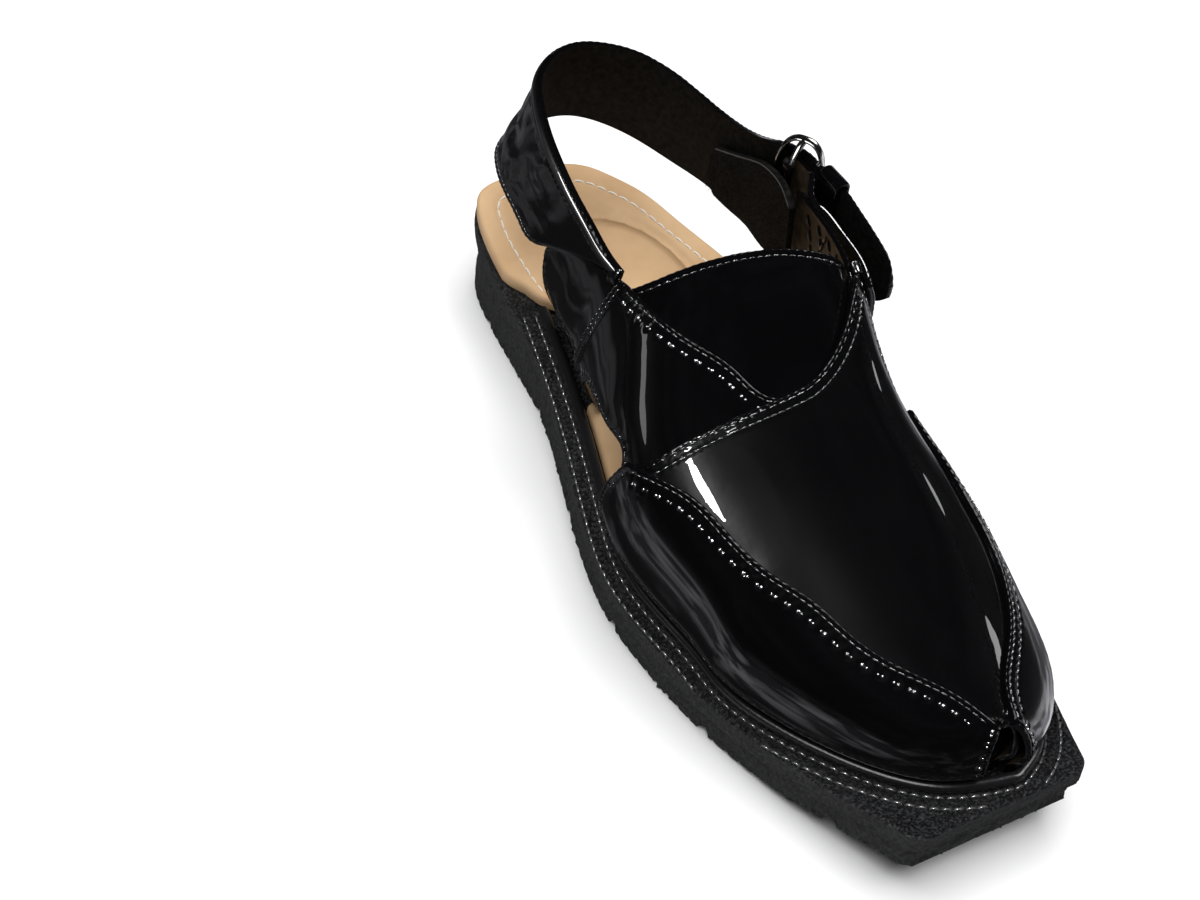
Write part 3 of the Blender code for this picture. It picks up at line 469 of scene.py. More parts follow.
class Outline(Path):
    """A closed outline in the flat pattern, made of edges, and laid on a surface."""

    def __init__(self, edges, surface, height, step):
        parts = [trace(edge, step)[:-1] for edge in edges]
        ends = np.cumsum([0] + [len(part) for part in parts])
        self.spans = list(zip(ends, ends[1:]))
        self.flat = np.vstack(parts)
        self.surface = surface
        self.height = height
        super().__init__(self.lay(self.flat), closed=True)

    def lay(self, flat, height=None):
        """The places of pattern points, at a height over the surface."""
        return self.surface(*flat.T, self.height if height is None else height)

    def inside(self, flat):
        """Whether points of the pattern lie inside the outline."""
        x, y = flat.T
        odd = np.zeros(len(flat), bool)
        for (x0, y0), (x1, y1) in zip(self.flat, np.roll(self.flat, -1, 0)):
            if y0 != y1:
                odd ^= ((y0 > y) != (y1 > y)) & (x < (x1 - x0) * (y - y0) / (y1 - y0) + x0)
        return odd

    def settle(self, flat, target):
        """Moves pattern points until they lie on the surface below the targets."""
        for _ in range(3):
            base = self.lay(flat)
            dp, dq = [(self.lay(flat + way) - base) / 0.2 for way in ((0.2, 0), (0, 0.2))]
            miss = target - base
            pp, qq, pq, mp, mq = [np.einsum("ij,ij->i", u, v) for u, v in
                                  ((dp, dp), (dq, dq), (dp, dq), (dp, miss), (dq, miss))]
            flat = flat + np.stack([qq * mp - pq * mq, pp * mq - pq * mp], 1) / (pp * qq - pq * pq)[:, None]
        return flat

    def inset(self, run, depth):
        """Pattern points that lie depth inside the outline, at lengths run along it."""
        flat = between(run, self.run, np.vstack([self.flat, self.flat[:1]]))
        here = self.lay(flat)
        total = self.run[-1]
        ahead, behind = [between((run % total + step) % total, self.run, self.points) for step in (0.8, -0.8)]
        inward = unit(np.cross(self.lay(flat, self.height + 1) - here, ahead - behind))
        one, other = [self.settle(flat, here + sign * inward * depth) for sign in (1, -1)]
        return np.where(self.inside(one)[:, None], one, other)

    def standing(self, run, depth, height, least=0.75):
        """Places at a height over points that really lie depth inside the outline, and the way up."""
        flat = self.inset(run, depth)
        flat = flat[(self.nearest(self.lay(flat))[0] > least * depth) & self.inside(flat)]
        base = self.lay(flat, height)
        return base, unit(self.lay(flat, height + 1) - base)

    def fill(self, fine, coarse, band, busy):
        """Points and triangles: fine near the busy edges, coarse elsewhere."""
        rings = []
        for depth in (0.22, 0.55, 1.05):
            ring = self.inset(np.arange(0, self.run[-1], np.diff(self.run).mean()), depth)
            off = self.nearest(self.lay(ring))[0]
            rings.append(ring[(off > depth * 0.9) & self.inside(ring)])
        low, high = self.flat.min(0), self.flat.max(0)
        ratio = int(round(coarse / fine))
        px, py = (np.arange(low[k] + fine / 2, high[k], fine) for k in (0, 1))
        ix, iy = [v.ravel() for v in np.meshgrid(np.arange(len(px)), np.arange(len(py)), indexing="ij")]
        flat = np.stack([px[ix] + (iy % 2) * fine * 0.5, py[iy]], 1)
        wanted = (ix % ratio == 0) & (iy % ratio == 0)
        keep = self.inside(flat)
        flat, wanted = flat[keep], wanted[keep]
        off, _, index = self.nearest(self.lay(flat))
        wanted |= self.along(busy, index) & (off < band)
        flat = flat[wanted & (off > 1.05 + fine * 0.6)]
        points = [Vector(p) for p in np.vstack([self.flat, *rings, flat])]
        made = delaunay_2d_cdt(points, [], [list(range(self.count))], 1, 1e-5)
        return np.array([tuple(v) for v in made[0]]), [tuple(f) for f in made[2]]

    def along(self, numbers, index):
        """Whether indices of the outline's points lie on the edges with these numbers."""
        return np.any([(index >= self.spans[k][0]) & (index < self.spans[k][1]) for k in numbers], 0)


def loop_of(faces):
    """The points round the edge of a patch of faces, in order."""
    seen = {edge: True for face in faces for edge in zip(face, face[1:] + face[:1])}
    after = {a: b for a, b in seen if (b, a) not in seen}
    loop = [next(iter(after))]
    while after[loop[-1]] != loop[0]:
        loop.append(after[loop[-1]])
    return np.array(loop)


def facing(faces, top, bottom):
    """The faces of the top, turned over if they look towards the bottom."""
    a, b, c = (top[k] for k in np.array(faces)[:, :3].T)
    up = (top - bottom)[[face[0] for face in faces]]
    return faces if (np.cross(b - a, c - a) * up).sum() > 0 else [face[::-1] for face in faces]


def mesh_piece(name, verts, faces, looks, face_looks=None, sharp=60):
    data = bpy.data.meshes.new(name)
    data.from_pydata(world(verts).tolist(), [], faces)
    for look in looks:
        data.materials.append(LOOK[look])
    if face_looks is not None:
        data.polygons.foreach_set("material_index", np.asarray(face_looks, np.int32))
    data.shade_smooth()
    data.set_sharp_from_angle(angle=math.radians(sharp))
    made = bpy.data.objects.new(name, data)
    bpy.context.scene.collection.objects.link(made)
    return made


def solid(name, faces, loop, top, bottom, looks, kinds, inner=(), sharp=60):
    """A closed mesh: top, wall through inner rows of places, and bottom; kinds are their three looks."""
    count = len(top)
    around = np.arange(len(loop)) + 2 * count
    rows = [loop, *(around + k * len(loop) for k in range(len(inner))), loop + count]
    walls = [face for above, below in zip(rows, rows[1:]) for face in
             np.stack([np.roll(above, -1), above, below, np.roll(below, -1)], 1).tolist()]
    under = [tuple(i + count for i in face[::-1]) for face in faces]
    kinds = np.repeat(kinds, [len(faces), len(walls), len(under)])
    return mesh_piece(name, np.vstack([top, bottom, *inner]), faces + walls + under, looks, kinds, sharp)


# places and the way up there: of the holes sewn with black thread, of the round stitches, and of the
# middle lines of the rolled edges
BLACK, PEARLS, PIPES = [], [], []
PEARL_SPLIT = 0.66      # each round stitch is two puffs, this far from its middle
PEARL_SINK = 0.42       # how far its middle lies below the leather's face
THREAD_SINK = 0.25
PIPE_INSET = 0.62
PIPE_SINK = 0.28
PIPE_RADIUS = 0.52
PIPE_STEP = 0.55
PIPE_END = 1.2          # a rolled edge starts and ends this far from its corners


def sheet(name, edges, surface, high, low, looks, rows=(), busy=(), fine=0.75, coarse=2.25, band=7.0,
          bead=0.28, relief=None, rounding=0.9, piping=()):
    """A piece of leather with rounded edges. rows are (edge, depth inside it, stitch pitch), and "pearls"
    for round stitches; busy edges get the fine mesh, and piping lists the rolled ones."""
    outline = Outline(edges, surface, high, fine)
    busy = {*busy, *(row[0] for row in rows)}
    flat, faces = outline.fill(fine, coarse, band, busy)
    off, run, index = outline.nearest(outline.lay(flat))
    off = np.where(off < 1e-3, 0, off)
    rounding = min(rounding, high - low)
    edge = np.clip(off / rounding, 0, 1)
    lift = high - rounding * 0.75 * (1 - np.sqrt(1 - (1 - edge) ** 2))
    lift += outline.along(busy, index) * bead * bell((off - 1.1) / 0.8)
    for number, depth, pitch, *kind in rows:
        first, final = outline.run[list(outline.spans[number])]
        count = int((final - first - 2 * depth) / pitch)
        at = first + depth + np.arange(count + 1) * pitch
        past = run - first - depth - np.clip(np.round((run - first - depth) / pitch), 0, count) * pitch
        aside = off - depth
        if kind:
            at = (at[:, None] + (-PEARL_SPLIT, PEARL_SPLIT)).ravel()
            PEARLS.append(outline.standing(at, depth, high - PEARL_SINK))
            raised = 0.24 * bell(aside / 1.5) - 0.62 * bell(np.hypot(aside, past) / 0.95)
            raised -= 0.26 * bell(np.hypot(aside - 0.3, np.abs(past) - pitch / 2) / 0.45)
        else:
            BLACK.append(outline.standing(at, depth, high - THREAD_SINK, 0.8))
            raised = 0.07 * bell(aside / 1.2) * (1 - np.cos(past / pitch * 2 * np.pi))
            raised -= 0.16 * bell(aside / 0.6) + 0.34 * bell(np.hypot(aside, past) / 0.55)
        lift += outline.along([number], index) * raised
    for number in piping:
        first, final = outline.run[list(outline.spans[number])]
        at = np.arange(first + PIPE_END, final - PIPE_END, PIPE_STEP)
        PIPES.append(outline.standing(at, PIPE_INSET, high - PIPE_SINK))
    if relief:
        lift = lift + relief(flat, off, run)
    top, bottom = outline.lay(flat, lift), outline.lay(flat, low)
    faces = facing(faces, top, bottom)
    return solid(name, faces, loop_of(faces), top, bottom, looks, (0, 0, len(looks) - 1))


# ---- tubes and thread
def tube(rows, count, closed=False):
    """Faces of a tube through rows of count points, with a cap at each open end."""
    faces = []
    for row in range(rows if closed else rows - 1):
        here, there = row * count, (row + 1) % rows * count
        for k in range(count):
            after = (k + 1) % count
            faces.append((here + k, there + k, there + after, here + after))
    if not closed:
        faces.append(tuple(range(count)))
        faces.append(tuple((rows - 1) * count + k for k in reversed(range(count))))
    return faces


def swept(name, path, profile, look, upright=(0, 0, 1), scale=1.0, closed=False):
    """A profile of (sideways, upwards) points carried along a path, scaled at each of its places."""
    path = np.asarray(path, float)
    ahead = unit(ahead_of(path, closed))
    side = unit(np.cross(ahead, upright))
    rise = np.cross(side, ahead)
    drawn = profile * np.broadcast_to(scale, len(path))[:, None, None]
    verts = path[:, None] + side[:, None] * drawn[..., :1] + rise[:, None] * drawn[..., 1:]
    faces = [face[::-1] for face in tube(len(path), len(profile), closed)]
    return mesh_piece(name, verts.reshape(-1, 3), faces, [look], sharp=50)


def turns(sides):
    angle = np.arange(sides) / sides * 2 * np.pi
    return np.cos(angle), np.sin(angle)


def round_profile(radius, sides=16, flat=1.0):
    c, s = turns(sides)
    return np.stack([c * radius, s * radius * flat], 1)


def band_profile(thick, wide):
    """A flat band's section with rounded edges: its width is upwards."""
    half = wide / 2 - thick / 2
    t = np.linspace(-np.pi / 2, np.pi / 2, 8)
    edge = np.stack([thick / 2 * np.sin(t), half + thick / 2 * np.cos(t)], 1)
    return np.vstack([edge, -edge])


def copies(name, local, faces, frames, look):
    """One mesh of equal shapes, each at its own place along its own three ways."""
    verts = [here + local @ np.array(ways) for here, ways in frames]
    many = [tuple(i + k * len(local) for i in face) for k in range(len(frames)) for face in faces]
    return mesh_piece(name, np.vstack(verts), many, [look], sharp=80)


# an arc of thread: share of the way to the next hole, share of the rise, share of the radius
ARC = [(0.04, -0.5, 0.55), (0.16, 0.35, 0.9), (0.34, 0.9, 1), (0.5, 1.0, 1), (0.66, 0.9, 1),
       (0.84, 0.35, 0.9), (0.96, -0.5, 0.55)]
ARC_SIDES = 6


def threads(name, seams, radius, rise, look):
    """One mesh of stitches: an arc of thread from each hole to the next."""
    local = np.array([(share, thick * radius * c, height * rise + thick * radius * s)
                      for share, height, thick in ARC for c, s in zip(*turns(ARC_SIDES))])
    frames = []
    for base, up in seams:
        ways = np.diff(base, axis=0)
        lengths = np.linalg.norm(ways, axis=1)
        usual = np.median(lengths) if len(lengths) else 0
        for here, way, over, length in zip(base, ways, up, lengths):
            if 0.4 * usual < length < 1.6 * usual:
                frames.append((here, (way, unit(np.cross(way, over)), over)))
    return copies(name, local, tube(len(ARC), ARC_SIDES), frames, look)


def joined(name, pieces):
    """One mesh of several."""
    with bpy.context.temp_override(active_object=pieces[0], selected_editable_objects=pieces):
        bpy.ops.object.join()
    pieces[0].name = pieces[0].data.name = name
    return pieces[0]


def dress(piece, slot, *nodes):
    """The piece rides on the shoe and stands for CAD nodes, whose parts it hides; slot is not used."""
    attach(piece, "root")
    for name in nodes:
        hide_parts(name)


# ---- leather on the last
PATENT = ("patent_leather", "brown_lining")
FEET = [[(76, 1.0), (265.0, 1.0)], [(260.5, -1.0), (153, -1.0)], [(103.5, -1.0), (61, -1.0)]]
# CAD node, edges, heights of the two faces, stitch rows, other settings of its sheet
ON_LAST = [
    ("vamp", (VAMP_BACK, VAMP_LATERAL, VAMP_TIP, VAMP_MEDIAL), (0.0, -1.55),
     [(0, 1.6, 3.4), (0, 4.2, 2.6), (1, 1.8, 2.6)],
     dict(busy=(2, 3), fine=0.6, coarse=2.4, bead=0.36, piping=(0, 1))),
    ("side_panel_medial", (MEDIAL_TOP, MEDIAL_FRONT, [(261.5, -1.0), (148, -1.0)], MEDIAL_BACK), (1.7, 0.1),
     [(0, 1.9, 2.6), (0, 5.2, 4.6, "pearls"), (1, 2.2, 3.4, "pearls"), (3, 2.4, 2.6)],
     dict(fine=0.55, coarse=2.2, band=9.0, bead=0.36, piping=(0, 1, 3))),
    ("side_panel_lateral",
     (LATERAL_TOP, PANEL_BACK, [(166, 1.0), (264.0, 1.0)], [(264.0, 1.0), (264.0, 0.2)]), (1.7, 0.1),
     [(0, 1.9, 2.6), (0, 4.4, 3.0), (1, 2.0, 2.6), (3, 2.4, 3.4, "pearls")],
     dict(fine=0.55, coarse=2.2, band=9.0, bead=0.36, piping=(0, 1, 3))),
    ("upper", (QUARTER_BACK, THROAT[:4], THROAT[3:9], THROAT[8:13], THROAT[12:], LATERAL_BACK, FEET[0],
               LINER_FRONT, FEET[1], WAIST_GAP, FEET[2]), (-1.7, -3.3),
     [(0, 2.0, 2.8), (2, 1.8, 2.6), (2, 4.8, 4.5, "pearls"), (4, 1.8, 2.8), (5, 2.0, 2.8), (9, 1.8, 2.8)],
     dict(fine=0.6, coarse=2.4, band=8.0, bead=0.34, piping=(0, 2, 4))),
    ("tongue", (TONGUE_TOP, [(131, 0.376), (178, 0.376)], [(178, 0.376), (178, -0.392)],
                [(178, -0.392), (108, -0.392)]), (-3.6, -5.4), [(0, 2.6, 2.8)], dict(bead=0.4, piping=(0,))),
]
# the strip over the seam behind the cross strap: its middle line, and half its width
SEAM_STRIP = [(108.2, -0.375), (107.5, -0.468), (103.2, -0.628), (96.5, -0.80)]
SEAM_STRIP_HALF = 1.7
# station, across and lift of each bound corner, the pattern's way along the corner, and how far the
# binding reaches sideways and up
WRAPS = [((103.2, -0.384, -1.7), (1.0, 0.28), (2.2, 0.85)), ((132.6, 0.370, -0.6), (1.0, 0.05), (2.4, 1.5))]
# ends of the lines of black stitching that cross the lining below the buckle
NET = [((101, 0.42), (114, 0.74)), ((108, 0.41), (122, 0.74)), ((115, 0.41), (130, 0.74)),
       ((122, 0.41), (108, 0.72)), ((114, 0.41), (98, 0.74)), ((130, 0.41), (116, 0.74))]


def pattern(edge):
    return np.asarray(edge, float) * (1, WIDE)


def make_leathers():
    for cad, edges, heights, rows, settings in ON_LAST:
        edges = [pattern(edge) for edge in edges]
        piece = sheet(cad + "_leather", edges, on_last, *heights, PATENT, rows, **settings)
        dress(piece, "patent_leather", cad)
    line = trace(pattern(SEAM_STRIP), 2.0)
    ahead = unit(ahead_of(line))
    out = np.stack([-ahead[:, 1], ahead[:, 0]], 1) * SEAM_STRIP_HALF
    left, right = line + out, (line - out)[::-1]
    edges = [left, [left[-1], right[0]], right, [right[-1], left[0]]]
    strip = sheet("cross_strap_strip", edges, on_last, -0.9, -2.2, PATENT[:1],
                  [(0, 0.75, 2.4), (2, 0.75, 2.4)], fine=0.6, coarse=0.6, band=4, bead=0.0)
    dress(strip, "patent_leather")


def make_wraps():
    """The bound corners where the strap meets the cross strap and the vamp meets the quarter."""
    pieces = []
    for (station, across, lift), (ds, dq), reach in WRAPS:
        here = on_last(station, across * WIDE, lift)
        along = unit(on_last(station + ds, across * WIDE + dq, lift) - here)
        up = on_last(station, across * WIDE, lift + 1) - here
        c, s = (v[:, None] for v in turns(30))
        path = here + unit(np.cross(along, up)) * c * reach[0] + up * s * reach[1]
        for name, shift, profile in (("wrap", 0, band_profile(1.1, 4.4)),
                                     ("wrap_thread", -1.6, round_profile(0.62, 8)),
                                     ("wrap_thread", 1.6, round_profile(0.62, 8))):
            pieces.append(swept(name, path + along * shift, profile, "patent_leather", along, closed=True))
    dress(joined("corner_wraps", pieces), "patent_leather")


def make_net():
    seams = []
    for ends in NET:
        p, q = trace(pattern(ends), 2.9).T
        base = on_last(p, q, -3.3)
        seams.append((base, unit(base - on_last(p, q, -2.3))))
    dress(threads("lining_net", seams, 0.55, 0.45, "black_thread"), "lining")


# ---- straps
class Ribbon:
    """A face through rows of points: p runs along the rows, q across them from 0 to wide."""

    def __init__(self, rows, wide, outside):
        self.rows = np.asarray(rows, float)
        self.run = run_of(self.rows.mean(1))
        self.wide = wide
        middle = spread(self.run[-1] / 2, wide / 2)
        self.turned = np.sign((np.array(outside) - self.place(*middle)) @ self.normal(*middle))

    def place(self, p, q):
        last_row = self.rows.shape[1] - 1
        lines = np.stack([np.stack([spline(self.run, self.rows[:, c, k], p) for k in range(3)], -1)
                          for c in range(last_row + 1)], -2)
        share = (q / self.wide)[..., None]
        if last_row == 1:
            return lines[..., 0, :] + (lines[..., 1, :] - lines[..., 0, :]) * share
        at = np.clip(share * last_row, 0, last_row - 0.0001)
        k = at.astype(int)
        t = at - k
        before, here, there, after = (
            np.take_along_axis(lines, np.clip(k + step, 0, last_row)[..., None], -2)[..., 0, :]
            for step in (-1, 0, 1, 2))
        return here + 0.5 * t * (there - before + t * (2 * before - 5 * here + 4 * there - after
                                                       + t * (3 * (here - there) + after - before)))

    def normal(self, p, q):
        dp = self.place(p + 0.3, q) - self.place(p - 0.3, q)
        dq = self.place(p, np.clip(q + 0.3, 0, self.wide)) - self.place(p, np.clip(q - 0.3, 0, self.wide))
        return unit(np.cross(dp, dq))

    def __call__(self, p, q, lift):
        p, q, lift = spread(p, q, lift)
        return self.place(p, q) + self.turned * self.normal(p, q) * lift[..., None]


def strap_root():
    """The heel strap's first row, in the seam on the medial quarter."""
    seam = np.array(THROAT[:4])
    station = np.array([109.0, 61.0])
    return on_last(station, column(seam, 1, station) * WIDE + 0.45, STRAP_LIFT)


def rolled(name, face, end, q, size):
    """A padded roll of half width and half thickness along a strap's upper edge."""
    base = face(np.arange(*end, 1.0), q, -0.35)
    wave = 1 + 0.05 * rough(base, 7, 51)
    wave[:3] *= (0.5, 0.75, 0.92)
    wave[-3:] *= (0.92, 0.75, 0.5)
    up = face(np.arange(*end, 1.0), q, 0.65) - base
    roll = swept(name, base, round_profile(size[0], 20, size[1] / size[0]), "patent_leather", up, wave)
    dress(roll, "patent_leather")


def make_heel_strap():
    face = Ribbon([strap_root(), *HEEL_STRAP], 32.0, (0, -60, 80))
    end, wide = face.run[-1], face.wide
    corners = [(3.2, 0.0), (end, 0.0), (end, wide), (0.5, wide), (0.5, 2.6), (3.2, 0.0)]

    def crumple(flat, off, run):
        here = level(flat)
        lumps = 0.85 * rough(here * (0.5, 1.6, 1), 9, 3) + 0.26 * rough(here, 3.5, 5)
        return lumps * bell((flat[:, 0] - 55) / 38) * smooth((off - 3) / 4)

    strap = sheet("heel_strap_leather", list(zip(corners, corners[1:])), face, 0.0, -2.0,
                  ("patent_leather", "black_lining"),
                  [(0, 1.8, 2.7), (0, 4.4, 2.7), (2, 1.7, 2.7), (1, 1.8, 2.7)],
                  relief=crumple, piping=(0, 1, 2))
    dress(strap, "patent_leather", "heel_strap")
    rolled("strap_roll", face, (0.8, 96), 2.3, (2.2, 1.15))


# a, lift, z of the upper and lower edge of the chape's outer face, from its sewn end backwards
CHAPE_ON_WALL = [
    (140, 2.9, 87.0, 66.0), (132, 2.9, 88.5, 66.0), (124, 2.0, 90.0, 66.5),
    (116, 1.1, 91.0, 67.5), (108, 0.6, 92.0, 69.0), (100, 0.6, 93.0, 71.0),
]
CHAPE_AT_BAR = (95.0, 73.5)
CHAPE_FREE = [(47.0, 93.0), (47.2, 89.0)]
CHAPE_THICK = 1.8
CHAPE_BAR_GAP = 0.3
BAR = 1.2
BAR_X, BAR_A = 43.9, 85.5


def on_lateral_wall(a, z, lift):
    across = np.linspace(0.3, 0.95, 200)
    heights = last(a, across)[:, 2]
    return on_last(a, np.interp(-z, -heights, across) * WIDE, lift)


def make_buckle_strap():
    rows = [[on_lateral_wall(a, z, lift) for z in np.linspace(*heights, 5)]
            for a, lift, *heights in CHAPE_ON_WALL]
    turn = BAR + CHAPE_BAR_GAP + CHAPE_THICK
    bend = [(BAR_X + turn * math.sin(t), BAR_A - turn * math.cos(t))
            for t in np.radians(np.arange(80, -91, -34))]
    for x, a in [*CHAPE_FREE, *bend, (BAR_X - turn, BAR_A + 3.0)]:
        rows.append([(x, a, z) for z in np.linspace(*CHAPE_AT_BAR, 5)])
    face = Ribbon(rows, 21.5, (90, 110, 80))
    end, wide = face.run[-1], face.wide
    corners = [(0, 0.0), (end, 0.0), (end, wide), (0, wide), (0, 0.0)]
    chape = sheet("buckle_strap_leather", list(zip(corners, corners[1:])), face, 0.0, -CHAPE_THICK, PATENT,
                  [(0, 1.7, 2.7), (2, 1.7, 2.7), (3, 2.0, 2.7)], piping=(0, 2, 3))
    dress(chape, "patent_leather", "buckle_strap")
    rolled("chape_roll", face, (1.0, 39), 1.7, (1.6, 0.9))


# ---- buckle, keeper and pad
KEEPER_A, KEEPER_X, KEEPER_Z = (95.5, 106.0), (47.4, 51.4), (70.8, 98.9)
KEEPER_CORNER = 1.9
KEEPER_THICK = 1.5
RING = (0.9, 1.6)      # the ring's half thickness and half breadth
FRAME_X = (43.3, 52.6)
FRAME_HALF = (6.4, 17.0)
FRAME_SQUARE = 0.75
PRONG_PATH = [(47.7, 0.0), (51.5, 0.3), (53.4, 1.4), (55.0, 3.0), (55.3, 6.0)]
# x, a, z of the pad's upper edge, then its lower edge
ANKLE_PAD = [
    ((41.5, 46.0, 74.0), (41.5, 46.0, 57.0)), ((42.0, 60.0, 80.5), (42.2, 60.0, 57.5)),
    ((42.0, 72.0, 86.5), (42.4, 72.0, 59.0)), ((40.4, 82.0, 90.5), (40.6, 82.0, 60.5)),
    ((39.0, 92.0, 91.0), (40.4, 92.0, 61.5)), ((37.8, 99.0, 88.0), (40.2, 99.0, 64.0)),
]
PAD_CORNER = 3.0
FIBRES = 9000


def make_keeper():
    (x0, x1), (z0, z1) = KEEPER_X, KEEPER_Z
    a = sum(KEEPER_A) / 2
    loop = []
    for cx, cz, sx, sz, start in ((x1, z1, 1, 1, 0), (x0, z1, -1, 1, 90), (x0, z0, -1, -1, 180),
                                  (x1, z0, 1, -1, 270)):
        for angle in np.radians(np.linspace(start, start + 90, 7)):
            loop.append((cx - (sx - math.cos(angle)) * KEEPER_CORNER, a,
                         cz - (sz - math.sin(angle)) * KEEPER_CORNER))
        if start == 0:
            loop.extend((x, a, z1) for x in np.linspace(x1 - KEEPER_CORNER, x0 + KEEPER_CORNER, 4)[1:-1])
    section = band_profile(KEEPER_THICK, KEEPER_A[1] - KEEPER_A[0])
    keeper = swept("keeper_loop", loop, section, "patent_leather", (0, 1, 0), closed=True)
    dress(keeper, "patent_leather", "keeper")


def make_buckle():
    middle = sum(FRAME_X) / 2
    slant = (FRAME_X[1] - FRAME_X[0]) / 2
    c, s = (np.sign(w) * np.abs(w) ** FRAME_SQUARE for w in turns(72))
    oval = np.stack([middle + slant * c, BUCKLE_A + FRAME_HALF[0] * c, BUCKLE_Z + FRAME_HALF[1] * s], 1)
    plane = np.cross((slant, FRAME_HALF[0], 0), (0, 0, 1.0))
    ring = swept("ring", oval, round_profile(RING[0], 24, RING[1] / RING[0]), "nickel", plane, closed=True)
    end = [(middle, BUCKLE_A, FRAME_HALF[1]), (middle - 2.2, BUCKLE_A + 0.8, FRAME_HALF[1] - 1.5),
           (BAR_X, BAR_A, FRAME_HALF[1] - 4.2)]
    places = [(x, a, BUCKLE_Z + rise) for x, a, rise in end]
    places += [(x, a, BUCKLE_Z - rise) for x, a, rise in reversed(end)]
    bar = swept("bar", trace(places, 1.2), round_profile(BAR, 14), "nickel", plane)
    dress(joined("buckle_ring_and_bar", [ring, bar]), "nickel", "buckle_frame")
    way = trace([(x, BAR_A + past, BUCKLE_Z) for x, past in PRONG_PATH], 0.5)
    taper = np.interp(np.arange(len(way)), [0, len(way) - 4, len(way) - 1], [1, 0.95, 0.45])
    dress(swept("prong", way, round_profile(0.8, 12), "nickel", scale=taper), "nickel", "buckle_prong")


def make_ankle_pad():
    face = Ribbon(ANKLE_PAD, 27.0, (90, 70, 70))
    end, wide = face.run[-1], face.wide
    cut = 2 * PAD_CORNER
    corners = [(PAD_CORNER, 0.0), (end, 0.0), (end, wide), (cut, wide), (0, wide - cut), (0, PAD_CORNER),
               (PAD_CORNER, 0)]

    def fuzz(flat, off, run):
        return 0.12 * rough(level(flat), 1.4, 8)

    pad = sheet("ankle_pad_felt", list(zip(corners, corners[1:])), face, 0.0, -2.4, ["black_lining"],
                busy=range(6), fine=0.7, band=40, bead=0, relief=fuzz)
    dress(pad, "lining", "ankle_pad")
    picks = np.random.default_rng(7)
    p = picks.uniform(0.4, end - 0.4, FIBRES)
    q = picks.uniform(0.4, wide - 0.4, FIBRES)
    root = face(p, q, -2.35)
    tip = face(p, q, -3.1) + picks.normal(0, 0.55, (FIBRES, 3))
    side = unit(picks.normal(0, 1, (FIBRES, 3))) * 0.06
    verts = np.stack([root - side, root + side, tip], 1).reshape(-1, 3)
    faces = np.arange(3 * FIBRES).reshape(-1, 3).tolist()
    dress(mesh_piece("ankle_pad_fibres", verts, faces, ["fibre"]), "lining")
    line = face(np.linspace(PAD_CORNER, end - 1, 60), 0.6, -2.3)
    dress(swept("ankle_pad_trim", line, round_profile(0.34, 8), "grey_trim"), "lining")


# ---- sole
CORD_RADIUS = 1.8
CORD_HEIGHT = 2.2
CORD_BACK = (54.0, 78.0)
LUGS = np.arange(28.0, 263.0, 46.5)
LUG_GAP = 3.6
LUG_DEPTH = 3.2
CORNER = 4.5                # how far back from the front edge its corners are rounded
LEDGE_ROWS = (2.6, 6.9)     # the two stitch rows, outside the cord's middle line
LEDGE_PITCH = 3.4
RIB_PITCH = 2.3
RIB_DEPTH = 1.5
TOOTH_PITCH = 2.6
CUT_PITCH = 5.2             # of the fine cuts across the tread's edge
BLOCK_PITCH = 15.5


def rim_outline(step):
    side = trace([(x, a) for a, x, _ in reversed(RIM)] + [(x, a) for a, _, x in RIM], step)
    centre = side[[0, -1]].mean(0)
    cut = np.clip(CORNER - (SOLE_FRONT - side[:, 1]), 0, None)
    side[:, 0] += np.where(side[:, 1] > 200, np.sign(centre[0] - side[:, 0]) * cut ** 2 / CORNER * 0.6, 0)
    return side


def cord_line(step, back=CORD_BACK):
    """The feather edge from the medial waist round the toe to the lateral waist, as (x, a)."""
    medial, lateral = [np.stack([column(t, k, np.arange(start, 266, 1.0)) for k in (1, 2)], 1)
                       for t, start in zip((MEDIAL, LATERAL), back)]
    return trace(np.concatenate([medial, MEDIAL[-1:, 1:3], lateral[::-1]]), step)


def flat_surface(p, q, lift):
    return np.stack(spread(p, q, lift), -1)


def saw(t):
    """A wave between 0 and 1 that goes straight up and down once in each unit."""
    return np.abs(t % 1 - 0.5) * 2


def slab(name, top_at, bottom_at, wall_at, wall_rows, fine, coarse, band, looks, inset=0.0):
    """The sole's plan between two heights, its wall in rows that wall_at moves outwards."""
    rim = rim_outline(fine)
    if inset:
        rim = rim - outwards(rim, closed=True) * inset
    outline = Outline([rim, [rim[-1], rim[0]]], flat_surface, 0.0, fine)
    flat, faces = outline.fill(fine, coarse, band, {0, 1})
    off, run, _ = outline.nearest(level(flat))
    top, bottom = (np.column_stack([flat, at(flat, off, run)]) for at in (top_at, bottom_at))
    faces = facing(faces, top, bottom)
    loop = loop_of(faces)
    out = level(outwards(flat[loop], closed=True))
    inner = []
    for share in np.arange(1, wall_rows) / wall_rows:
        place = top[loop] + (bottom[loop] - top[loop]) * share
        inner.append(place + out * wall_at(place, run[loop], share)[:, None])
    return solid(name, faces, loop, top, bottom, looks, (len(looks) - 1, 0, 0), inner, sharp=70)


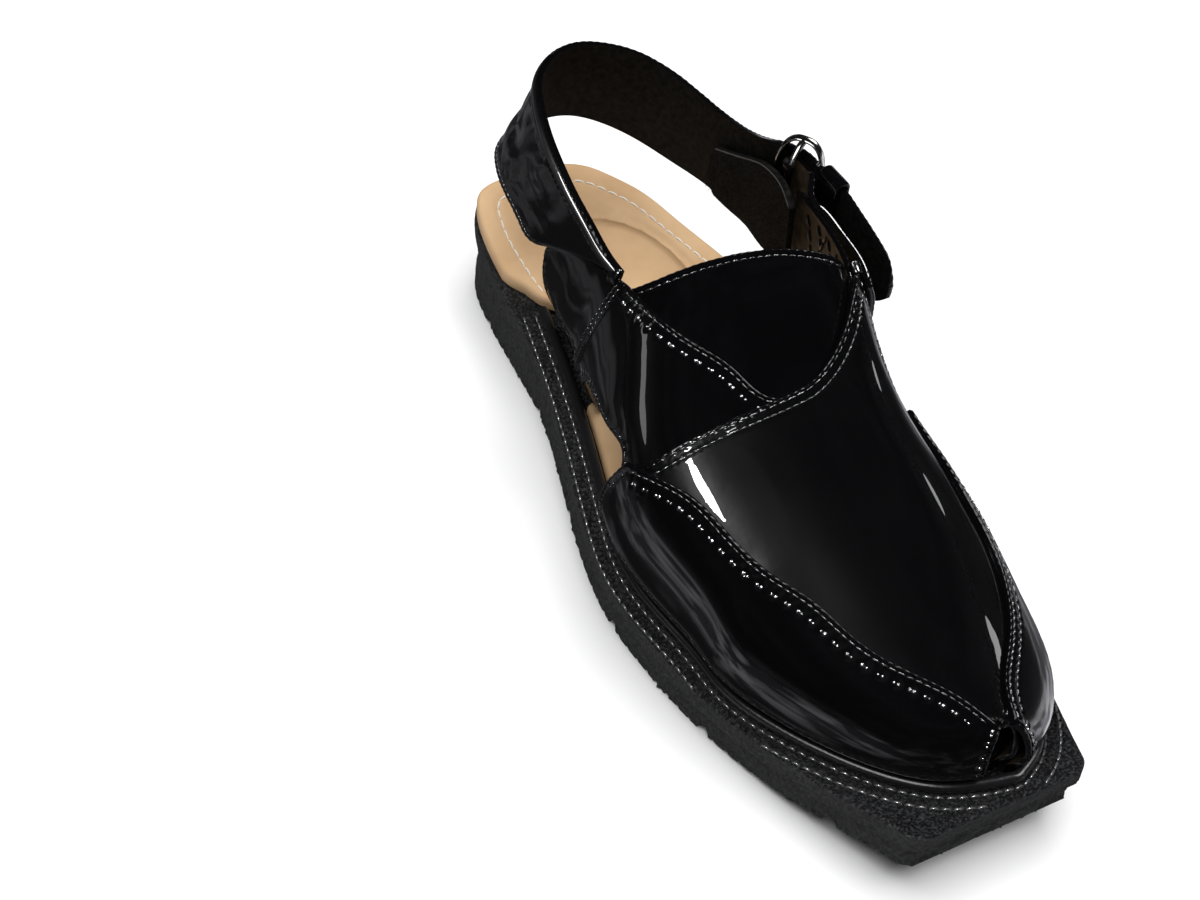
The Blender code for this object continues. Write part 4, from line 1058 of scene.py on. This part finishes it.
def make_midsole():
    line = cord_line(1.5)
    cord = Path(level(line))

    def top_at(flat, off, run):
        here = level(flat)
        away, along, _ = cord.nearest(here)
        x, a = flat.T
        z = ledge(a) - 0.5 * (1 - smooth(off / 0.9)) + 0.10 * rough(here, 2.2, 1) + 0.12 * rough(here, 7, 2)
        for row in LEDGE_ROWS:
            z -= 0.55 * bell((away - row) / 0.42)
        ribbed = np.where(x < 0, smooth((236 - a) / 8), smooth((a - 225) / 8) * smooth((272 - a) / 6))
        inner, outer = LEDGE_ROWS
        ribbed = ribbed * smooth((away - inner - 0.3) / 0.4) * smooth((outer - 0.3 - away) / 0.4)
        return z - RIB_DEPTH * ribbed * np.clip(saw(along / RIB_PITCH) * 2 - 1.0, 0, 1)

    def bottom_at(flat, off, run):
        return ledge(flat[:, 1]) - MIDSOLE

    def wall_at(place, run, share):
        return 0.16 * rough(place, 1.6, 11) + 0.22 * rough(place, 6, 12) - 0.25 * (share > 0.85)

    sole = slab("midsole_rubber", top_at, bottom_at, wall_at, 7, 0.7, 4.2, 15, ["cut_rubber", "ledge_rubber"])
    dress(sole, "rubber", "midsole")
    seams = []
    back, medial, lateral = zip(*RIM)
    for row in LEDGE_ROWS:
        path = line + outwards(line) * row
        run = run_of(path)
        holes = between(np.arange(0, run[-1], LEDGE_PITCH), run, path)
        x, a = holes.T
        keep = (x > np.interp(a, back, medial) - 0.4) & (x < np.interp(a, back, lateral) + 0.4)
        keep &= (a < SOLE_FRONT - 1) & (cord.nearest(level(holes))[0] > 0.75 * row)
        base = np.column_stack([holes, ledge(a) - 0.45])[keep]
        seams.append((base, np.tile((0.0, 0.0, 1.0), (len(base), 1))))
    dress(threads("ledge_stitches", seams, 0.46, 0.50, "sole_thread"), "rubber")
    path = np.column_stack([line, ledge(line[:, 1]) + CORD_HEIGHT])
    grain = 1 + 0.02 * rough(path, 9, 4)
    grain[[0, -1]] = 0.8
    bead = swept("rand_cord", path, round_profile(CORD_RADIUS, 20), "rand_cord", scale=grain)
    dress(bead, "rand", "welt_bead")


def make_outsole():
    def tread(flat, off, run):
        x, a = flat.T
        spring = TOE_SPRING * np.clip((a - TREAD_FLAT_END) / (SOLE_FRONT - TREAD_FLAT_END), 0, None) ** 1.7
        ragged = 0.5 * rough(level(flat), 3.0, 21)
        near_lug = np.abs(a[:, None] - LUGS + ragged[:, None]).min(1)
        lug = LUG_DEPTH * np.clip((LUG_GAP / 2 - near_lug) / 0.6, 0, 1)
        fine_cut = 1.1 * smooth((saw(a / CUT_PITCH) - 0.72) / 0.12) * smooth((15 + 2 * ragged - off) / 2)
        slant = saw((a + 0.8 * np.abs(x)) / BLOCK_PITCH)
        blocks = 2.2 * smooth((slant - 0.78) / 0.06) * smooth((off - 17) / 1.5)
        rail = 2.2 * smooth((1.3 - np.abs(off - 16.5)) / 0.5)
        nibble = 0.35 * np.clip(rough(level(flat), 2.0, 22), 0, 1) * smooth((2 - off) / 1.5)
        return spring + np.maximum.reduce([lug, fine_cut, blocks, rail]) + nibble

    def top_at(flat, off, run):
        return ledge(flat[:, 1]) - MIDSOLE - 0.3

    def wall_at(place, run, share):
        grain = 0.40 * rough(place * (1, 1, 0.6), 1.5, 31) + 0.48 * rough(place, 5, 32)
        grain += 0.30 * rough(place, 14, 33)
        teeth = 0.60 * (saw(run / TOOTH_PITCH) * 2 - 1) * smooth((share - 0.80) / 0.12)
        return grain - 0.45 * bell((share - 0.36) / 0.035) + teeth - 0.25

    sole = slab("outsole_rubber", top_at, tread, wall_at, 18, 0.9, 1.8, 18, ["cut_rubber"], inset=1.5)
    dress(sole, "rubber", "outsole")


# ---- insole
INSOLE_LIFT = 0.3
INSOLE_THICK = 3.7
INSOLE_HEEL_THICK = 4.7
INSOLE_OVER = (36.0, 65.0)
INSOLE_TOE = 250.0      # it ends here, short of the open toe
INSOLE_SHY = 2.0        # how far its medial edge draws in from the sole's by there
INSOLE_WAIST = [(-30.0, 39.6), (-27.4, 43.4), (-25.4, 48.5)]   # x, a of its edge at the medial wall's end
# a, and how far inside the cord the insole's edge lies: less where no wall of the upper covers it
INSOLE_MEDIAL = [(52, 2.8), (59, 8.5), (95, 8.5), (99, 2.8), (142, 2.8), (146, 8.5)]
INSOLE_LATERAL = [(69, 2.8), (74, 8.5)]
SEAT_ROW = 7.6          # the seat's stitch row inside the sole's rim
SEAT_PITCH = 4.3


def make_insole():
    rim = rim_outline(2.0)
    medial = rim[:, 0] < 3
    heel = rim[rim[:, 1] < np.where(medial, *INSOLE_OVER)][::-1]
    heel[:, 0] += np.where(heel[:, 0] < 0, INSOLE_SHY * np.clip(heel[:, 1] / INSOLE_OVER[0], 0, 1), 0)
    row = rim - outwards(rim) * SEAT_ROW
    row = row[np.where(row[:, 0] < 3, rim[:, 1] < 50, rim[:, 1] < 66)]
    row[:, 0] += np.where(row[:, 0] < 0, 4.6 * (row[:, 1] / 50) ** 2, 0)
    seat = Path(level(trace(row[::4], 0.6)))
    line = cord_line(2.0, (CORD_BACK[0], 70.0))
    x, a = line.T
    inset = np.where(x < 0, np.interp(a, *zip(*INSOLE_MEDIAL)), np.interp(a, *zip(*INSOLE_LATERAL)))
    inner = line - outwards(line) * inset[:, None]
    inner = inner[inner[:, 1] < INSOLE_TOE]

    def face(p, q, lift):
        p, q, lift = spread(p, q, lift)
        return np.stack([p, q, ledge(q) + INSOLE_LIFT + lift], -1)

    def relief(flat, off, run):
        x, a = flat.T
        here = level(flat)
        thick = (INSOLE_HEEL_THICK - INSOLE_THICK) * (np.clip((60 - a) / 22, 0, 1) - 1)
        dish = 3.0 * bell(np.hypot((x - 3) / 18, (a - 36) / 26))
        shell = np.hypot(*((flat - HOLLOW[0]) / HOLLOW[1]).T)
        rim_of_dish = 2.2 * bell((shell - 1.0) / 0.08) * smooth((x + 10) / 20)
        waves = 0.14 * rough(here, 11, 41) + 0.07 * rough(here, 4, 42)
        aside, along, _ = seat.nearest(here)
        hole = np.abs((along - 1.0 + SEAT_PITCH / 2) % SEAT_PITCH - SEAT_PITCH / 2)
        sewn = 0.30 * bell(aside / 0.8) + 0.55 * bell(np.hypot(aside, hole) / 0.6)
        return thick - sewn - (dish + rim_of_dish - waves) * smooth((off - 2) / 5)

    waist = trace([heel[-1], *INSOLE_WAIST, inner[0]], 1.0)
    sock = sheet("insole_sock", [heel, waist, inner, [inner[-1], heel[0]]], face, INSOLE_HEEL_THICK, 0.0,
                 ["tan_leather"], busy=(0, 1, 2), fine=0.8, coarse=2.4, band=12.0, bead=0.0, relief=relief,
                 rounding=2.4)
    dress(sock, "tan_leather", "insole")
    holes = between(np.arange(1.0, seat.run[-1], SEAT_PITCH), seat.run, seat.points[:, :2])
    base = face(*holes.T, INSOLE_HEEL_THICK + relief(holes, SEAT_ROW, 0.0) + 0.35)
    up = np.tile((0.0, 0.0, 1.0), (len(base), 1))
    dress(threads("insole_stitches", [(base, up)], 0.36, 0.42, "white_thread"), "tan_leather")


# ---- rolled edges and round stitches
PIPE_LEAST = 6          # places that a stretch of rolled edge needs
PINCH_PITCH = 2.6


def make_piping():
    """The leather's turned edges, a roll that each stitch pinches."""
    pieces = []
    for base, up in PIPES:
        run = run_of(base)
        for part in np.split(np.arange(len(run)), np.flatnonzero(np.diff(run) > 1.2) + 1):
            if len(part) < PIPE_LEAST:
                continue
            pinch = 1 + 0.13 * np.cos(run[part] / PINCH_PITCH * 2 * np.pi) + 0.16 * rough(base[part], 4, 61)
            pinch[[0, -1]] = 0.5
            profile = round_profile(PIPE_RADIUS, 10)
            pieces.append(swept("pipe", base[part], profile, "patent_leather", up[part], pinch))
    dress(joined("edge_piping", pieces), "patent_leather")


def make_pearls():
    """Two small puffs of thread for each round stitch."""
    picks = np.random.default_rng(11)
    sides = 8
    rings = [(1.0, 0.0), (0.92, 0.4), (0.68, 0.74), (0.34, 0.95)]
    local = [(radius * c, radius * s, height) for radius, height in rings for c, s in zip(*turns(sides))]
    crown = len(local) - sides
    faces = [face[::-1] for face in tube(len(rings), sides)[:-1]]
    faces += [(crown + k, crown + (k + 1) % sides, len(local)) for k in range(sides)]
    frames = []
    for here, rise in zip(*(np.vstack(rows) for rows in zip(*PEARLS))):
        side = unit(np.cross(rise, (0.3, 0.9, 0.1)))
        frames.append((here, picks.uniform(0.50, 0.86) * np.array([side, np.cross(rise, side), rise])))
    pearls = copies("pearl_stitches", np.array([*local, (0, 0, 1)]), faces, frames, "black_thread")
    dress(pearls, "patent_leather")


# ---- floor, lights and camera
def stage():
    scene = bpy.context.scene
    bpy.ops.mesh.primitive_plane_add(size=8, location=(0, 0, 0))
    floor = bpy.context.object
    floor.name = "floor"
    pale = material("pale_floor", (0.9, 0.9, 0.9), 0.6, tint=(4, 4, (0.35, 0.88), (0.65, 0.92)),
                    **{"Specular IOR Level": 0.1})
    floor.data.materials.append(pale)
    floor.visible_glossy = False
    # a dim uneven room, lighter below, so that the glossy leather has something soft to mirror
    studio = bpy.data.worlds.new("studio")
    studio.use_nodes = True
    patches = ramp(studio, noise(studio, 4.5, 3.0, "Generated"),
                   (0.45, (0.10, 0.10, 0.11)), (0.62, (1.0, 1.0, 1.06)))
    way = node(studio, "TexCoord", out="Generated")
    x, z = (node(studio, "SeparateXYZ", {0: way}, out=axis) for axis in "XZ")
    height = node(studio, "MapRange", {"Value": z, "From Min": -1.0, "From Max": 1.0})
    rise = ramp(studio, height, (0.40, 0.16), (0.52, 0.13), (0.60, 0.025))
    sides = maths(studio, "ADD", climb(studio, x, 0.2, 0.85, 1.5), climb(studio, x, -0.6, -0.82, 0.9))
    low_sides = maths(studio, "MULTIPLY", sides, climb(studio, z, -0.02, -0.10, 1.0))
    feed(studio, studio.node_tree.nodes["Background"],
         {"Color": patches, "Strength": maths(studio, "ADD", low_sides, rise)})
    scene.world = studio
    scene.view_settings.view_transform = "Standard"
    area_lamp("fill", (0, 0, 2.4), 130.0, 3.2).visible_glossy = False


def area_lamp(name, place, watts, wide, tall=None):
    light = bpy.data.lights.new(name, "AREA")
    light.size = wide
    light.energy = watts
    if tall:
        light.shape = "ELLIPSE"
        light.size_y = tall
    lamp = bpy.data.objects.new(name, light)
    lamp.location = place
    bpy.context.scene.collection.objects.link(lamp)
    return lamp


VAMP = ("vamp_leather",)
RAND = ("rand_cord",)
PEARLY = ("pearl_stitches",)
SEWN = ("black_stitches", "corner_wraps")
EDGES = ("edge_piping",)
METAL = ("buckle_ring_and_bar", "prong")
RUBBER = ("midsole_rubber", "outsole_rubber")
# name, azimuth and elevation it shines from, width and height in metres, watts, the pieces that mirror it
GLINTS = [
    ("key", -87, 64, 0.17, 0.13, 7.0, VAMP),
    ("crown", 10, 74, 0.12, 0.10, 0.9, VAMP),
    ("sky", -99, 76, 0.55, 0.90, 0.07, (*VAMP, "side_panel_medial_leather")),
    ("toe_spot", 90, 26, 0.12, 0.09, 0.12, VAMP),
    ("curtain", -120, 27, 0.44, 0.16, 0.45, ("upper_leather",)),
    ("strap_glow", -122, 8, 0.95, 0.35, 26.0, ("strap_roll",)),
    ("chape_glow", 180, 58, 1.40, 0.70, 60.0, ("chape_roll",)),
    ("wrap_glow", -115, 53, 0.30, 0.25, 5.0, ("corner_wraps",)),
    ("pearl_medial", -60, 60, 0.34, 0.34, 80.0, PEARLY),
    ("pearl_lateral", 75, 52, 0.34, 0.34, 70.0, PEARLY),
    ("pearl_back", 176, 55, 0.28, 0.28, 50.0, PEARLY),
    ("spark_medial", -60, 60, 0.28, 0.28, 22.0, SEWN),
    ("spark_lateral", 75, 52, 0.28, 0.28, 20.0, SEWN),
    ("spark_back", 176, 55, 0.28, 0.28, 20.0, SEWN),
    ("edge_medial", -65, 55, 0.9, 0.7, 11.0, EDGES),
    ("edge_lateral", 80, 50, 0.9, 0.7, 9.0, EDGES),
    ("rand_medial", -65, 50, 0.9, 0.7, 9.0, RAND),
    ("rand_lateral", 80, 50, 0.9, 0.7, 9.0, RAND),
    ("ring_medial", -60, 35, 1.4, 1.0, 9.0, METAL),
    ("ring_lateral", 110, 40, 0.8, 0.6, 5.0, METAL),
    ("ledge_spark", -70, 55, 0.40, 0.40, 45.0, ("ledge_stitches",)),
    ("rubber_sheen", -70, 40, 0.60, 0.60, 8.0, RUBBER),
]
GLINT_FAR = 1.25
GLINT_HEIGHT = 0.05     # of the point that the glints circle and face


def make_glints():
    """Lamps that only glossy surfaces show, each kept to the pieces named for it."""
    for name, azimuth, elevation, wide, tall, watts, pieces in GLINTS:
        az, el = math.radians(azimuth), math.radians(elevation)
        way = Vector((math.sin(az) * math.cos(el), -math.cos(az) * math.cos(el), math.sin(el)))
        lamp = area_lamp(name, way * GLINT_FAR + Vector((0, 0, GLINT_HEIGHT)), watts, wide, tall)
        lamp.rotation_euler = way.to_track_quat("Z", "Y").to_euler()
        lamp.visible_diffuse = False
        group = bpy.data.collections.new(name + "_on")
        for piece in pieces:
            group.objects.link(bpy.data.objects[piece])
        lamp.light_linking.receiver_collection = group


def camera():
    data = bpy.data.cameras.new("camera")
    data.lens = 58.28
    data.sensor_width = 36.0
    data.clip_end = 20.0
    shot = bpy.data.objects.new("camera", data)
    shot.location = world((-280.8, 478.97, 475.29))
    heading, elevation, roll = (math.radians(v) for v in (-34.04, 45.98, 8.08))
    turn = Euler((0, 0, heading)).to_matrix() @ Euler((math.pi / 2 - elevation, 0, 0)).to_matrix()
    shot.rotation_euler = (turn @ Euler((0, 0, roll)).to_matrix()).to_euler()
    bpy.context.scene.collection.objects.link(shot)
    bpy.context.scene.camera = shot


camera()
stage()
make_leathers()
make_wraps()
make_net()
make_heel_strap()
make_buckle_strap()
make_keeper()
make_buckle()
make_ankle_pad()
make_midsole()
make_outsole()
make_insole()
dress(threads("black_stitches", BLACK, 0.27, 0.30, "black_thread"), "patent_leather")
make_piping()
make_pearls()
make_glints()
